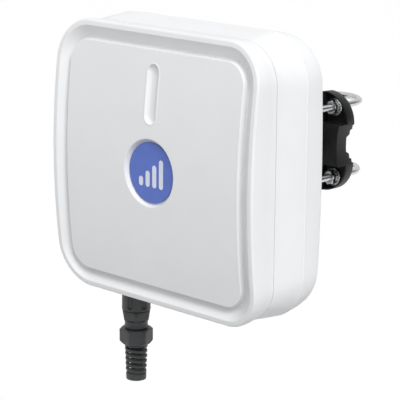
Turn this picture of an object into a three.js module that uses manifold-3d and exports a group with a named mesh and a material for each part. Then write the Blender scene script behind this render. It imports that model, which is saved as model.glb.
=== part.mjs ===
// Outdoor wireless bridge: a square weatherproof enclosure on a tilting mast bracket.
// Millimetres, +Z up. The origin is on the mast's axis, half-way up the clamp. The front faces -Y.
import * as THREE from 'three';
import { mergeVertices } from 'three/addons/utils/BufferGeometryUtils.js';
import Module from 'manifold-3d';

const wasm = await Module();
wasm.setup();

// ---------------------------------------------------------------- driving dimensions

const GAP = 0.3;                  // clearance between pieces that touch
const OVER = 1;                   // how far a cutting tool runs past what it cuts

// Enclosure
const BODY_SIZE = 250;            // widest width and height
const BODY_DEPTH = 82.5;          // corners of the front panel to the bracket's seat on the back
const MAST_TO_BACK = 147.5;       // mast axis to the seat on the back
const WALL = 3;
const BOW = 9;                    // how far the front bows forwards at mid-height
const BACK_BOW = 4;               // and the back rearwards
const SEAT_RISE = 0.5;            // the seat stands out from the middle of the back
const SEAT_MARGIN = 1.5;
const FRONT_CORNER = 40;          // corner radius of the widest outline, on the cover
const REAR_CORNER = 43.5;         // and on the rear housing
const LEAST_CORNER = 4;           // no outline set in from it has a smaller radius
const RIM_INSET = 2.3;            // the cover's rim, in from the widest outline
const SEAM_INSET = 3.9;
const SEAM_DEPTH = 20;            // panel corners to the seam between cover and housing
const SEAM_GAP = 0.5;
const EDGE_TO_BACK = 28;          // the housing's widest edge to its back
const RIM_WIDTH = 5.2;            // the cover's rim, a flat band outside the groove
const GROOVE_DEPTH = 6.6;         // the groove slopes in from the rim, then rises steeply to the panel
const GROOVE_FLOOR = 2.2;
const PANEL_INSET = 20.4;         // edge of the raised panel
const FLANGE_WIDTH = 7;           // sealing flange at the seam
const FLANGE_THICK = 4.2;
const GASKET_WIDTH = 2.4;
const GASKET_THICK = 2.1;

// Front panel
const BADGE_DIAMETER = 54;
const BADGE_DROP = 1.8;           // the badge's middle, below the enclosure's
const BADGE_THICK = 1.2;
const BADGE_ROOM = 0.9;           // between the badge's edge and the wall of its dish
const DISH_DEPTH = 4.7;
const DISH_SLOPE = 0.45;          // how much the dish's wall spreads for each mm forwards
const SLOT_WIDTH = 13.6;
const SLOT_LENGTH = 51.6;
const SLOT_DEPTH = 3.4;
const SLOT_FROM_TOP = 58;         // the slot's middle, below the top of the enclosure

// Cover screws and inner posts
const COVER_SCREW_INSET = 32;     // in from the widest outline
const COVER_SCREW = 4;
const COVER_PILOT_LENGTH = 14;
const POST_DIAMETER = 10;
const POST_END_DEPTH = 45.6;      // where the cover's post meets the housing's sleeve
const SLEEVE_DIAMETER = 14;
const SLEEVE_FLOOR = 4;

// Electronics
const CHASSIS_MARGIN = 41;        // the chassis plate's edge, in from the widest outline
const CHASSIS_THICK = 1.5;
const CHASSIS_DEPTH = 40;         // panel corners to the chassis plate's front face
const CHASSIS_SCREW_INSET = 14;
const CHASSIS_BOSS = 9;
const CHASSIS_PILOT_LENGTH = 11;
const ANTENNA_BOARD_MARGIN = 9;   // in from the chassis plate's edge
const BOARD_THICK = 1.6;
const ANTENNA_SPACER_LENGTH = 13;
const ANTENNA_SPACER_INSET = 15;
const PATCH_SHARE = 0.32;         // one patch's width, of the antenna board's
const PATCH_THICK = 0.6;
const PATCH_GAP = 22;
const MAIN_BOARD_SIDE_MARGIN = 22;
const MAIN_BOARD_END_MARGIN = 36;
const MAIN_BOARD_Z = 4;           // the main board's middle, above the enclosure's middle
const STANDOFF_LENGTH = 4;
const STANDOFF_DIAMETER = 6.4;
const BOARD_SCREW_INSET = 8;
const SMALL_SCREW = 3;
const SHIELD_SIZE = [46, 34, 4.5];
const SHIELD_FROM_TOP = 17;
const JACK_SIZE = [16, 13.5, 21];
const JACK_WALL = 2;
const JACK_OVERHANG = 2;          // the jack's mouth, below the main board's edge
const JACK_TO_BOSS = 2;
const COAX_DIAMETER = 2.4;
const COAX_RISE = 6;              // how far a lead stands off the main board
const LEAD_FROM_BOARD = 10;       // the lead's hole, above the main board's edge

// Cable port, on a vertical axis through the enclosure's bottom wall
const PORT_FROM_SIDE = 62.2;      // the port's axis, in from the enclosure's side
const PORT_FROM_SEAM = 3.2;       // the port's flange, behind the seam
const PORT_FACE_INSET = 3;        // the flat under the bottom wall, up from the widest outline
const PORT_PAD_THICK = 5;
const PORT_PAD_MARGIN = 2.3;
const PORT_THREAD = 20.6;
const PORT_WALL = 3.8;
const PORT_FLANGE_LIP = 3.7;      // how far the flange stands out from the thread
const PORT_FLANGE_THICK = 3;
const PORT_THREAD_SPARE = 4;      // thread that shows above the lock nut
const PORT_SEAL_THICK = 1.3;
const PORT_SEAL_INSET = 1;
const LOCK_NUT_LIP = 2;
const LOCK_NUT_THICK = 5.5;
const LOCK_NUT_ROOM = 0.6;
const RING_WALL = 3;              // fluted coupling ring
const RING_LENGTH = 20;
const RING_LIP = 3;
const RING_BEVEL = 0.8;
const FLUTES = 6;
const FLUTE_SHARE = 0.45;         // of the room that each flute has round the ring
const FLUTE_STANDS_OUT = 0.45;    // its centre outside the ring, as a share of its radius
const FLUTE_TURN = -10;           // degrees from +X to one of them
const FLUTE_FROM_END = 4.5;
const COLLAR_STEP = 1.8;          // the plug's collar, smaller all round than the thread
const PLUG_FLANGE_THICK = 3;
const PLUG_HEX_LENGTH = 9.6;
const PLUG_HEX_TURN = 17;         // degrees from +X to one of the corners
const NECK_STEP = 0.4;            // the neck, larger all round than the thread
const NECK_LENGTH = 7.8;
const CLAMP_STEP = 1.5;           // the clamp nut's thread, smaller all round than the neck
const CLAMP_WALL = 4.3;
const CLAMP_LENGTH = 15;
const CLAMP_TURN = -10;           // degrees from +X to one of the nut's corners
const CLAMP_FLOOR = 2;
const SEAL_WALL = 1.8;            // the plug's wall round the cable seal
const CABLE_BORE = 7;
const CABLE_SEAL_LENGTH = 12;
const SPIRAL_STEP = 1.4;          // the spiral, larger all round than the clamp nut's thread
const SPIRAL_TAPER = 1.1;
const SPIRAL_WALL = 3;
const SPIRAL_TURNS = 5;
const SPIRAL_PITCH = 4.9;
const SPIRAL_BAND = 2.9;
const SPIRAL_BEVEL = 0.9;
const COLLAR_LENGTH = 2.2;
const END_RING_LENGTH = 6.3;
const VENT_THREAD = 12;           // pressure vent, across from the port
const VENT_FLANGE = 18;
const VENT_THICK = 4;

// Mast clamp
const MAST_DIAMETER = 48;
const MAST_TO_LEG = 2;
const MAST_TO_BEND = 2;           // left for the nuts to take up
const MAST_TO_FLOOR = 2.4;        // the mast rests on the groove's teeth, clear of its floor
const U_ROD = 6;
const U_BOLT_SPACING = 66.6;      // between the upper and the lower U-bolt
const U_LEG_LENGTH = 68.7;
const U_TIP_BEVEL = 0.6;
const WASHER_LIP = 5.5;
const WASHER_THICK = 1.6;
const WASHER_ROOM = 1.2;          // between a washer and the raised cross
const NUT_WALL = 3;
const NUT_HEIGHT = 6;
const NUT_TURN = 0.26;            // radians
const PLATE_MARGIN = 18;          // the plate's sides, out from the legs
const PLATE_END_MARGIN = 13.7;    // and its top and bottom; the plate is square, and as large as both ask
const PLATE_CORNER = 28;
const PLATE_THICK = 9.7;
const PLATE_DIP = 2.3;            // how far the plate's sides dip in at their middles
const BAR_HEIGHT = 12.6;          // how far the raised cross stands in front of the plate
const POCKET_DEPTH = 3.9;
const POCKET_RIM = 1.5;
const GROOVE_FLOOR_DEPTH = 8.4;
// Half-widths of the stepped groove that grips a mast, each with its share of the floor's depth.
const GROOVE_STEPS = [[6.8, 1], [9.2, 0.52], [13.2, 0.52], [14, 0.21], [17.4, 0.21], [18.2, 0]];

// Tilting arm and its base on the enclosure
const PIVOT_TO_MAST = 96;
const TILT_BOLT = 8;
const TILT_HEX_WALL = 2.5;
const TILT_HEAD = 5.3;
const TILT_NUT = 8;
const TILT_WASHER_THICK = 1.6;
const TILT_TIP = 3;               // how far the bolt shows past its nut
const TONGUE_WIDTH = 16;
const TONGUE_ROOM = 0.6;
const TONGUE_WEB = 3.2;
const EAR_WIDTH = 6;
const EAR_FOOT = 54;
const PIVOT_BOSS_RADIUS = 13;
const ARM_FLANGE_LIP = 1.2;       // the arm's flange, out from the raised cross
const ARM_FLANGE_THICK = 6;
const NECK_INSET = 3.5;           // the arm's neck, in from the flange's edge
const NECK_FLARE = 6;
const ARM_SCREW = 5;
const ARM_SCREW_HEAD = 8;
const ARM_SCREW_ROOM = 2;         // between a screw's head and the arm's tongue
const ARM_SCREW_INSET = 5.3;      // in from the raised cross's edge
const ARM_SCREW_REACH = 7.5;      // into the mast plate
const BASE_SIZE = 84;
const BASE_CORNER = 12;
const BASE_THICK = 5;
const BASE_SCREW = 5;
const BASE_SCREW_SPACING = 64;
const BASE_BOSS = 12;
const BASE_BOSS_LENGTH = 10;

// ---------------------------------------------------------------- derived sizes and places

const HALF = BODY_SIZE / 2;
const BOW_HALF = 0.44 * BODY_SIZE;            // height at which the bow is nil
const FACE_Y = -(MAST_TO_BACK + BODY_DEPTH);
const BACK_Y = -MAST_TO_BACK;
const EDGE_DEPTH = BODY_DEPTH - EDGE_TO_BACK;
const BACK_EDGE_DEPTH = BODY_DEPTH - SEAT_RISE - BACK_BOW;  // where the bow is nil
const BACK_SHARE = -BACK_BOW / BOW;
const SLOT_CENTRE_Z = HALF - SLOT_FROM_TOP;
const COVER_SCREW_SPACING = BODY_SIZE - 2 * COVER_SCREW_INSET;

const CHASSIS_SIZE = BODY_SIZE - 2 * CHASSIS_MARGIN;
const CHASSIS_SCREW_SPACING = CHASSIS_SIZE - 2 * CHASSIS_SCREW_INSET;
const ANTENNA_BOARD_SIZE = CHASSIS_SIZE - 2 * ANTENNA_BOARD_MARGIN;
const ANTENNA_SPACER_SPACING = ANTENNA_BOARD_SIZE - 2 * ANTENNA_SPACER_INSET;
const PATCH_SIZE = ANTENNA_BOARD_SIZE * PATCH_SHARE;
const PATCH_SPACING = PATCH_SIZE + PATCH_GAP;
const MAIN_BOARD_WIDTH = CHASSIS_SIZE - 2 * MAIN_BOARD_SIDE_MARGIN;
const MAIN_BOARD_HEIGHT = CHASSIS_SIZE - 2 * MAIN_BOARD_END_MARGIN;
const MAIN_BOARD_TOP = MAIN_BOARD_Z + MAIN_BOARD_HEIGHT / 2;
const MAIN_BOARD_BOTTOM = MAIN_BOARD_Z - MAIN_BOARD_HEIGHT / 2;

const PORT_FLANGE = PORT_THREAD + 2 * PORT_FLANGE_LIP;
const PORT_BORE = PORT_THREAD - 2 * PORT_WALL;
const PORT_X = -(HALF - PORT_FROM_SIDE);
const VENT_X = -PORT_X;
const PORT_Y = FACE_Y + SEAM_DEPTH + PORT_FROM_SEAM + PORT_FLANGE / 2;
const PORT_FACE_Z = HALF - PORT_FACE_INSET;   // below mid-height
const LOCK_NUT_FLATS = PORT_THREAD + 2 * LOCK_NUT_LIP;
const RING_DIAMETER = PORT_THREAD + 2 * RING_WALL;
const PLUG_COLLAR = PORT_THREAD - 2 * COLLAR_STEP;
const NECK_DIAMETER = PORT_THREAD + 2 * NECK_STEP;
const CLAMP_THREAD = NECK_DIAMETER - 2 * CLAMP_STEP;
const CLAMP_FLATS = CLAMP_THREAD + 2 * CLAMP_WALL;
const PLUG_SEAL_BORE = CLAMP_THREAD - 2 * SEAL_WALL;
const SPIRAL_DIAMETER = CLAMP_THREAD + 2 * SPIRAL_STEP;
const SPIRAL_END_DIAMETER = SPIRAL_DIAMETER - 2 * SPIRAL_TAPER;

const WASHER_DIAMETER = U_ROD + 2 * WASHER_LIP;
const U_SPREAD = MAST_DIAMETER + 2 * MAST_TO_LEG + U_ROD;   // between the two legs of one U-bolt
const NUT_FLATS = U_ROD + 2 * NUT_WALL;
const PLATE_SIZE = Math.max(U_SPREAD + 2 * PLATE_MARGIN, U_BOLT_SPACING + 2 * PLATE_END_MARGIN);
const BAR_WIDTH = U_SPREAD - WASHER_DIAMETER - 2 * WASHER_ROOM;
const GROOVE_FLOOR_Y = -(MAST_DIAMETER / 2 + MAST_TO_FLOOR);
const PLATE_REAR_Y = GROOVE_FLOOR_Y + GROOVE_FLOOR_DEPTH;
const PLATE_FRONT_Y = PLATE_REAR_Y - PLATE_THICK;
const BAR_FRONT_Y = PLATE_FRONT_Y - BAR_HEIGHT;

const PIVOT_Y = -PIVOT_TO_MAST;
const TILT_HEX = TILT_BOLT + 2 * TILT_HEX_WALL;
const ARM_SCREW_X = (TONGUE_WIDTH + ARM_SCREW_HEAD) / 2 + ARM_SCREW_ROOM;
const ARM_SCREW_Z = BAR_WIDTH / 2 - ARM_SCREW_INSET;
const ARM_FLANGE_WIDTH = 2 * (ARM_SCREW_X + ARM_SCREW_INSET + ARM_FLANGE_LIP);
const ARM_FLANGE_HEIGHT = BAR_WIDTH + 2 * ARM_FLANGE_LIP;

const depth = (d) => FACE_Y + d;              // a depth behind the panel's corners, as Y

// ---------------------------------------------------------------- materials

const paint = (color, roughness, metalness = 0) =>
  new THREE.MeshStandardMaterial({ color, roughness, metalness });
const WHITE = paint(0xe9eaeb, 0.5);
const BLUE = paint(0x3a62b4, 0.4);
const BLACK = paint(0x17181a, 0.5);
const NYLON = paint(0x3a3b3d, 0.55);
const RUBBER = paint(0x1c1c1c, 0.85);
const STEEL = paint(0xb8babc, 0.28, 1);
const ALUMINIUM = paint(0xc4c7ca, 0.4, 1);
const BRASS = paint(0xb9964e, 0.35, 1);
const LAMINATE = paint(0x1f5a3a, 0.5);
const TIN = paint(0xa9adb0, 0.35, 1);
const GREY_PLASTIC = paint(0x9a9c9e, 0.6);

// ---------------------------------------------------------------- solids

const bare = (geometry) => {
  const plain = geometry.clone();
  plain.deleteAttribute('normal');
  plain.deleteAttribute('uv');
  return mergeVertices(plain, 1e-4);
};

// A closed geometry as a solid, with its faces turned outwards.
const solid = (geometry) => {
  const merged = bare(geometry);
  const points = merged.attributes.position;
  const index = merged.index.array;
  const faces = [];
  const [a, b, c] = [new THREE.Vector3(), new THREE.Vector3(), new THREE.Vector3()];
  let volume = 0;
  for (let i = 0; i < index.length; i += 3) {
    const [p, q, r] = [index[i], index[i + 1], index[i + 2]];
    if (p === q || q === r || r === p) continue;
    faces.push([p, q, r]);
    a.fromBufferAttribute(points, p);
    b.fromBufferAttribute(points, q);
    c.fromBufferAttribute(points, r);
    volume += a.dot(b.cross(c));
  }
  const outward = volume > 0 ? faces : faces.map(([p, q, r]) => [p, r, q]);
  return new wasm.Manifold(new wasm.Mesh({
    numProp: 3,
    vertProperties: new Float32Array(points.array),
    triVerts: new Uint32Array(outward.flat()),
  }));
};

const join = (...pieces) => pieces.reduce((whole, piece) => whole.add(piece));
const cut = (whole, ...tools) => tools.reduce((rest, tool) => rest.subtract(tool), whole);

const geometryOf = (body) => {
  const { vertProperties, triVerts } = body.getMesh();
  const geometry = new THREE.BufferGeometry();
  geometry.setAttribute('position', new THREE.BufferAttribute(new Float32Array(vertProperties), 3));
  geometry.setIndex(new THREE.BufferAttribute(new Uint32Array(triVerts), 1));
  geometry.computeVertexNormals();
  return geometry;
};

const model = new THREE.Group();

const addPart = (name, material, body) => {
  const mesh = new THREE.Mesh(geometryOf(body), material);
  mesh.name = name;
  model.add(mesh);
};

// Directions in which an outline is extruded: the outline's own two axes, then the extrusion.
const AXES = {
  x: [[0, 1, 0], [0, 0, 1], [1, 0, 0]],
  y: [[1, 0, 0], [0, 0, 1], [0, -1, 0]],
  z: [[1, 0, 0], [0, 1, 0], [0, 0, 1]],
};

const turned = (geometry, axis) => {
  const [u, v, w] = AXES[axis].map((values) => new THREE.Vector3(...values));
  return geometry.applyMatrix4(new THREE.Matrix4().makeBasis(u, v, w));
};

// An outline stood up between two places on an axis.
const prism = (shape, axis, from, to, curveSegments = 3) => {
  const length = Math.abs(to - from);
  const geometry = new THREE.ExtrudeGeometry(shape, { depth: length, bevelEnabled: false, curveSegments });
  turned(geometry, axis);
  const start = axis === 'y' ? Math.max(from, to) : Math.min(from, to);
  const move = { x: [start, 0, 0], y: [0, start, 0], z: [0, 0, start] }[axis];
  return solid(geometry.translate(...move));
};

// A rod between two places on an axis. The centre is given in the two other coordinates, in XYZ order.
const rod = (axis, radius, from, to, centre = [0, 0], sides = 20, endRadius = radius, turn = 0) => {
  const length = Math.abs(to - from);
  const geometry = new THREE.CylinderGeometry(endRadius, radius, length, sides);
  geometry.rotateY(turn);
  if (axis === 'x') geometry.rotateZ(-Math.PI / 2);
  if (axis === 'z') geometry.rotateX(Math.PI / 2);
  const middle = (from + to) / 2;
  const [p, q] = centre;
  const place = { x: [middle, p, q], y: [p, middle, q], z: [p, q, middle] }[axis];
  return solid(geometry.translate(...place));
};

const block = (x0, x1, y0, y1, z0, z1) => {
  const geometry = new THREE.BoxGeometry(x1 - x0, y1 - y0, z1 - z0);
  return solid(geometry.translate((x0 + x1) / 2, (y0 + y1) / 2, (z0 + z1) / 2));
};

// A ring or a bush on an axis.
const tube = (axis, outer, inner, from, to, centre = [0, 0], sides = 24) => {
  const over = Math.sign(to - from) * OVER;
  return cut(
    rod(axis, outer, from, to, centre, sides),
    rod(axis, inner, from - over, to + over, centre, sides),
  );
};

const HEX = Math.cos(Math.PI / 6);            // across flats to across corners

// How far to turn an upright rod so that one of its corners is this many degrees from +X.
const cornerTurn = (degrees) => THREE.MathUtils.degToRad(degrees + 90);

const hexNut = (axis, flats, bore, from, to, centre, turn = 0) => {
  const radius = flats / 2 / HEX;
  const body = rod(axis, radius, from, to, centre, 6, radius, turn);
  const over = Math.sign(to - from) * OVER;
  return bore ? cut(body, rod(axis, bore / 2, from - over, to + over, centre, 16)) : body;
};

const chamferedRod = (axis, radius, from, to, centre, bevel, sides = 24) => {
  const step = Math.sign(to - from) * bevel;
  return join(
    rod(axis, radius - bevel, from, from + step, centre, sides, radius),
    rod(axis, radius, from + step, to - step, centre, sides),
    rod(axis, radius, to - step, to, centre, sides, radius - bevel),
  );
};

// Corners of a square pattern, as [x, z].
const CORNERS = [[-1, 1], [1, 1], [-1, -1], [1, -1]];
const square = (spacing) => CORNERS.map(([i, k]) => [(i * spacing) / 2, (k * spacing) / 2]);
const armScrews = CORNERS.map(([i, k]) => [i * ARM_SCREW_X, k * ARM_SCREW_Z]);

// Joins rings of points with the same count, and closes both ends straight across from side to side.
const loft = (rings) => {
  const count = rings[0].length;
  const points = rings.flat().flatMap((point) => point.toArray());
  const index = [];
  const quad = (a, b, c, d) => index.push(a, b, c, a, c, d);
  for (let r = 0; r + 1 < rings.length; r += 1) {
    for (let i = 0; i < count; i += 1) {
      const next = (i + 1) % count;
      quad(r * count + i, r * count + next, (r + 1) * count + next, (r + 1) * count + i);
    }
  }
  const last = (rings.length - 1) * count;
  for (let i = 0; i + 1 < count / 2; i += 1) {
    const mirror = count - 1 - i;
    quad(i + 1, i, mirror, mirror - 1);
    quad(last + i, last + i + 1, last + mirror - 1, last + mirror);
  }
  const geometry = new THREE.BufferGeometry();
  geometry.setAttribute('position', new THREE.Float32BufferAttribute(points, 3));
  geometry.setIndex(index);
  return solid(geometry);
};

// ---------------------------------------------------------------- enclosure shells

const CORNER_STEPS = 5;
const BOWED_SIDE_STEPS = 6;

// One level of a shell: an outline set in from the widest one, at a depth behind the panel's
// corners, that takes a share of the front's bow.
const level = (sideSteps, inset, atDepth, bowShare = 0, corner = REAR_CORNER) => {
  const half = HALF - inset;
  const radius = Math.max(corner - inset, LEAST_CORNER);
  const flat = half - radius;
  const right = [];
  for (let i = 0; i <= CORNER_STEPS; i += 1) {
    const angle = -Math.PI / 2 + (i / CORNER_STEPS) * Math.PI / 2;
    right.push([flat + radius * Math.cos(angle), -flat + radius * Math.sin(angle)]);
  }
  for (let i = 1; i < sideSteps; i += 1) right.push([half, -flat + (2 * flat * i) / sideSteps]);
  for (let i = 0; i <= CORNER_STEPS; i += 1) {
    const angle = (i / CORNER_STEPS) * Math.PI / 2;
    right.push([flat + radius * Math.cos(angle), flat + radius * Math.sin(angle)]);
  }
  const left = right.map(([x, z]) => [-x, z]).reverse();
  return [...right, ...left].map(([x, z]) => {
    const bow = bowShare * BOW * (1 - (z / BOW_HALF) ** 2);
    return new THREE.Vector3(x, depth(atDepth) - bow, z);
  });
};

const shellLoft = (levels, sideSteps = 1) => loft(levels.map((values) => level(sideSteps, ...values)));

const coverFace = SEAM_DEPTH - SEAM_GAP / 2;
const housingFace = SEAM_DEPTH + SEAM_GAP / 2;

const rimInner = RIM_INSET + RIM_WIDTH;
const coverOutside = shellLoft([
  [SEAM_INSET, coverFace, 0, FRONT_CORNER],
  [SEAM_INSET - 0.2, coverFace - 4.6, 0.15, FRONT_CORNER],
  [RIM_INSET + 0.5, 9.4, 0.6, FRONT_CORNER],
  [RIM_INSET, 3.6, 1, FRONT_CORNER],
  [RIM_INSET, 0.4, 1, FRONT_CORNER],
  [RIM_INSET + 0.5, -1.0, 1, FRONT_CORNER],
  [RIM_INSET + 1.5, -1.6, 1, FRONT_CORNER],
  [rimInner, -1.6, 1, FRONT_CORNER],
  [rimInner + 0.6, -1.2, 1, FRONT_CORNER],
  [PANEL_INSET - GROOVE_FLOOR - 1.2, GROOVE_DEPTH - 0.9, 1, FRONT_CORNER],
  [PANEL_INSET - GROOVE_FLOOR, GROOVE_DEPTH, 1, FRONT_CORNER],
  [PANEL_INSET - 1.2, GROOVE_DEPTH, 1, FRONT_CORNER],
  [PANEL_INSET - 0.7, GROOVE_DEPTH - 0.5, 1, FRONT_CORNER],
  [PANEL_INSET - 0.4, 0.4, 1, FRONT_CORNER],
  [PANEL_INSET, 0, 1, FRONT_CORNER],
], BOWED_SIDE_STEPS);

const coverInside = shellLoft([
  [SEAM_INSET + FLANGE_WIDTH, coverFace + 2, 0, FRONT_CORNER],
  [SEAM_INSET + FLANGE_WIDTH, coverFace - FLANGE_THICK, 0.1, FRONT_CORNER],
  [SEAM_INSET + WALL + 0.4, coverFace - FLANGE_THICK - 2.2, 0.3, FRONT_CORNER],
  [RIM_INSET + WALL + 1.2, 8.4, 0.8, FRONT_CORNER],
  [rimInner, WALL + 0.2, 1, FRONT_CORNER],
  [PANEL_INSET - GROOVE_FLOOR - 1.2, GROOVE_DEPTH + WALL + 0.4, 1, FRONT_CORNER],
  [PANEL_INSET + WALL - 0.4, GROOVE_DEPTH + WALL, 1, FRONT_CORNER],
  [PANEL_INSET + WALL, WALL + 0.4, 1, FRONT_CORNER],
], BOWED_SIDE_STEPS);

// The housing swells from the seam to its widest edge, then draws in to the bowed back.
const swellDepth = SEAM_DEPTH + (EDGE_DEPTH - SEAM_DEPTH) * 0.533;
const drawnDepth = (EDGE_DEPTH + BACK_EDGE_DEPTH) / 2;
const swellInset = 1.7;
const drawnInset = 1.9;
const backInset = 3.8;

const housingOutside = shellLoft([
  [SEAM_INSET, housingFace, 0, FRONT_CORNER],
  [SEAM_INSET - 0.5, SEAM_DEPTH + 6, 0, FRONT_CORNER + 0.8],
  [swellInset, swellDepth, 0, REAR_CORNER - 1.2],
  [0.3, EDGE_DEPTH - 3.5],
  [0, EDGE_DEPTH - 0.6],
  [0.2, EDGE_DEPTH + 1.4],
  [drawnInset, drawnDepth, BACK_SHARE / 2],
  [backInset, BACK_EDGE_DEPTH - 4, BACK_SHARE],
  [backInset + 1.6, BACK_EDGE_DEPTH - 1.2, BACK_SHARE],
  [backInset + 4.6, BACK_EDGE_DEPTH, BACK_SHARE],
], BOWED_SIDE_STEPS);

const housingInside = shellLoft([
  [SEAM_INSET + FLANGE_WIDTH, housingFace - 2, 0, FRONT_CORNER],
  [SEAM_INSET + FLANGE_WIDTH, housingFace + FLANGE_THICK, 0, FRONT_CORNER],
  [SEAM_INSET + WALL - 0.6, housingFace + FLANGE_THICK + 2.6, 0, FRONT_CORNER],
  [swellInset + WALL, swellDepth, 0, REAR_CORNER - 1.2],
  [WALL, EDGE_DEPTH],
  [drawnInset + WALL, drawnDepth - 1, BACK_SHARE / 2],
  [backInset + WALL, BACK_EDGE_DEPTH - WALL - 3.5, BACK_SHARE],
  [backInset + WALL + 5.2, BACK_EDGE_DEPTH - WALL, BACK_SHARE],
], BOWED_SIDE_STEPS);

// Depth of the front panel's surface, negative because it bows out past the corners' plane.
const panelFront = (z) => -BOW * (1 - (z / BOW_HALF) ** 2);

// Y in the middle of the back wall, where what stands on it inside ends.
const inBackWall = (z) => depth(BACK_EDGE_DEPTH + BACK_BOW * (1 - (z / BOW_HALF) ** 2) - WALL / 2);

// The scooped slot: a rounded trough that follows the panel's bow.
const slotTool = () => {
  const r = SLOT_WIDTH / 2;
  const reach = SLOT_LENGTH / 2 - r;
  const sides = 16;
  const steps = 4;
  const ball = (z) => {
    const geometry = new THREE.SphereGeometry(r, sides, 6).scale(1, SLOT_DEPTH / r, 1);
    return solid(geometry.translate(0, depth(panelFront(z)), z));
  };
  const [low, high] = [SLOT_CENTRE_Z - reach, SLOT_CENTRE_Z + reach];
  const rings = [];
  for (let i = 0; i <= steps; i += 1) {
    const z = low + ((high - low) * i) / steps;
    const ring = [];
    for (let k = 0; k < sides; k += 1) {
      const angle = Math.PI / 2 - ((k + 0.5) * 2 * Math.PI) / sides;
      ring.push(new THREE.Vector3(
        r * Math.cos(angle), depth(panelFront(z)) + SLOT_DEPTH * Math.sin(angle), z));
    }
    rings.push(ring);
  }
  return join(loft(rings), ball(low), ball(high));
};

// Outline of the pad that backs the slot, wider than the slot by a wall.
const slotPadShape = () => {
  const r = SLOT_WIDTH / 2 + WALL;
  const reach = (SLOT_LENGTH - SLOT_WIDTH) / 2;
  const shape = new THREE.Shape();
  shape.absarc(0, SLOT_CENTRE_Z + reach, r, 0, Math.PI);
  shape.absarc(0, SLOT_CENTRE_Z - reach, r, Math.PI, 2 * Math.PI);
  return shape;
};

const dishFloor = panelFront(0) + DISH_DEPTH;
const badgeCentre = [0, -BADGE_DROP];
const PAD_OVERLAP = 1.5;          // a pad or post starts this far inside the panel it joins

const buildCover = () => {
  const dishRadius = BADGE_DIAMETER / 2 + BADGE_ROOM;
  const slotPadRear = depth(panelFront(SLOT_CENTRE_Z + SLOT_LENGTH / 2) + SLOT_DEPTH + WALL);
  const slotPad = prism(slotPadShape(), 'y', depth(panelFront(0)), slotPadRear, 5).intersect(coverOutside);
  const dishPad = rod('y', dishRadius + WALL, depth(panelFront(0) + PAD_OVERLAP), depth(dishFloor + WALL),
    badgeCentre, 24);
  const screws = square(COVER_SCREW_SPACING);
  const posts = screws.map(([x, z]) =>
    rod('y', POST_DIAMETER / 2, depth(panelFront(z) + PAD_OVERLAP), depth(POST_END_DEPTH), [x, z], 12));
  const pilots = screws.map(([x, z]) => rod('y', COVER_SCREW / 2 + GAP,
    depth(POST_END_DEPTH - COVER_PILOT_LENGTH), depth(POST_END_DEPTH + OVER), [x, z], 8));
  const mouth = DISH_DEPTH + 4;
  const dish = rod('y', dishRadius + mouth * DISH_SLOPE, depth(dishFloor - mouth), depth(dishFloor),
    badgeCentre, 40, dishRadius);
  const shell = cut(coverOutside, coverInside);
  return cut(join(shell, slotPad, dishPad, ...posts), dish, slotTool(), ...pilots);
};

addPart('front_cover', WHITE, buildCover());

const GASKET_INSET = SEAM_INSET + (FLANGE_WIDTH - GASKET_WIDTH) / 2;

// A band that runs round the enclosure between two insets.
const band = (outerInset, innerInset, from, to) => cut(
  shellLoft([[outerInset, from, 0, FRONT_CORNER], [outerInset, to, 0, FRONT_CORNER]]),
  shellLoft([[innerInset, from - OVER, 0, FRONT_CORNER], [innerInset, to + OVER, 0, FRONT_CORNER]]),
);

const gasketTop = coverFace + GAP;
addPart('housing_gasket', RUBBER,
  band(GASKET_INSET, GASKET_INSET + GASKET_WIDTH, gasketTop, gasketTop + GASKET_THICK));

addPart('badge_disc', BLUE, rod('y', BADGE_DIAMETER / 2, depth(dishFloor - GAP),
  depth(dishFloor - GAP - BADGE_THICK), badgeCentre, 40));

const headOf = (diameter) => diameter * 1.9;  // across a round screw head
const coverScrewHead = headOf(COVER_SCREW);
const sleeveFace = POST_END_DEPTH + GAP;
const bossFace = CHASSIS_DEPTH + CHASSIS_THICK + GAP;
const baseScrews = square(BASE_SCREW_SPACING);

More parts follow.
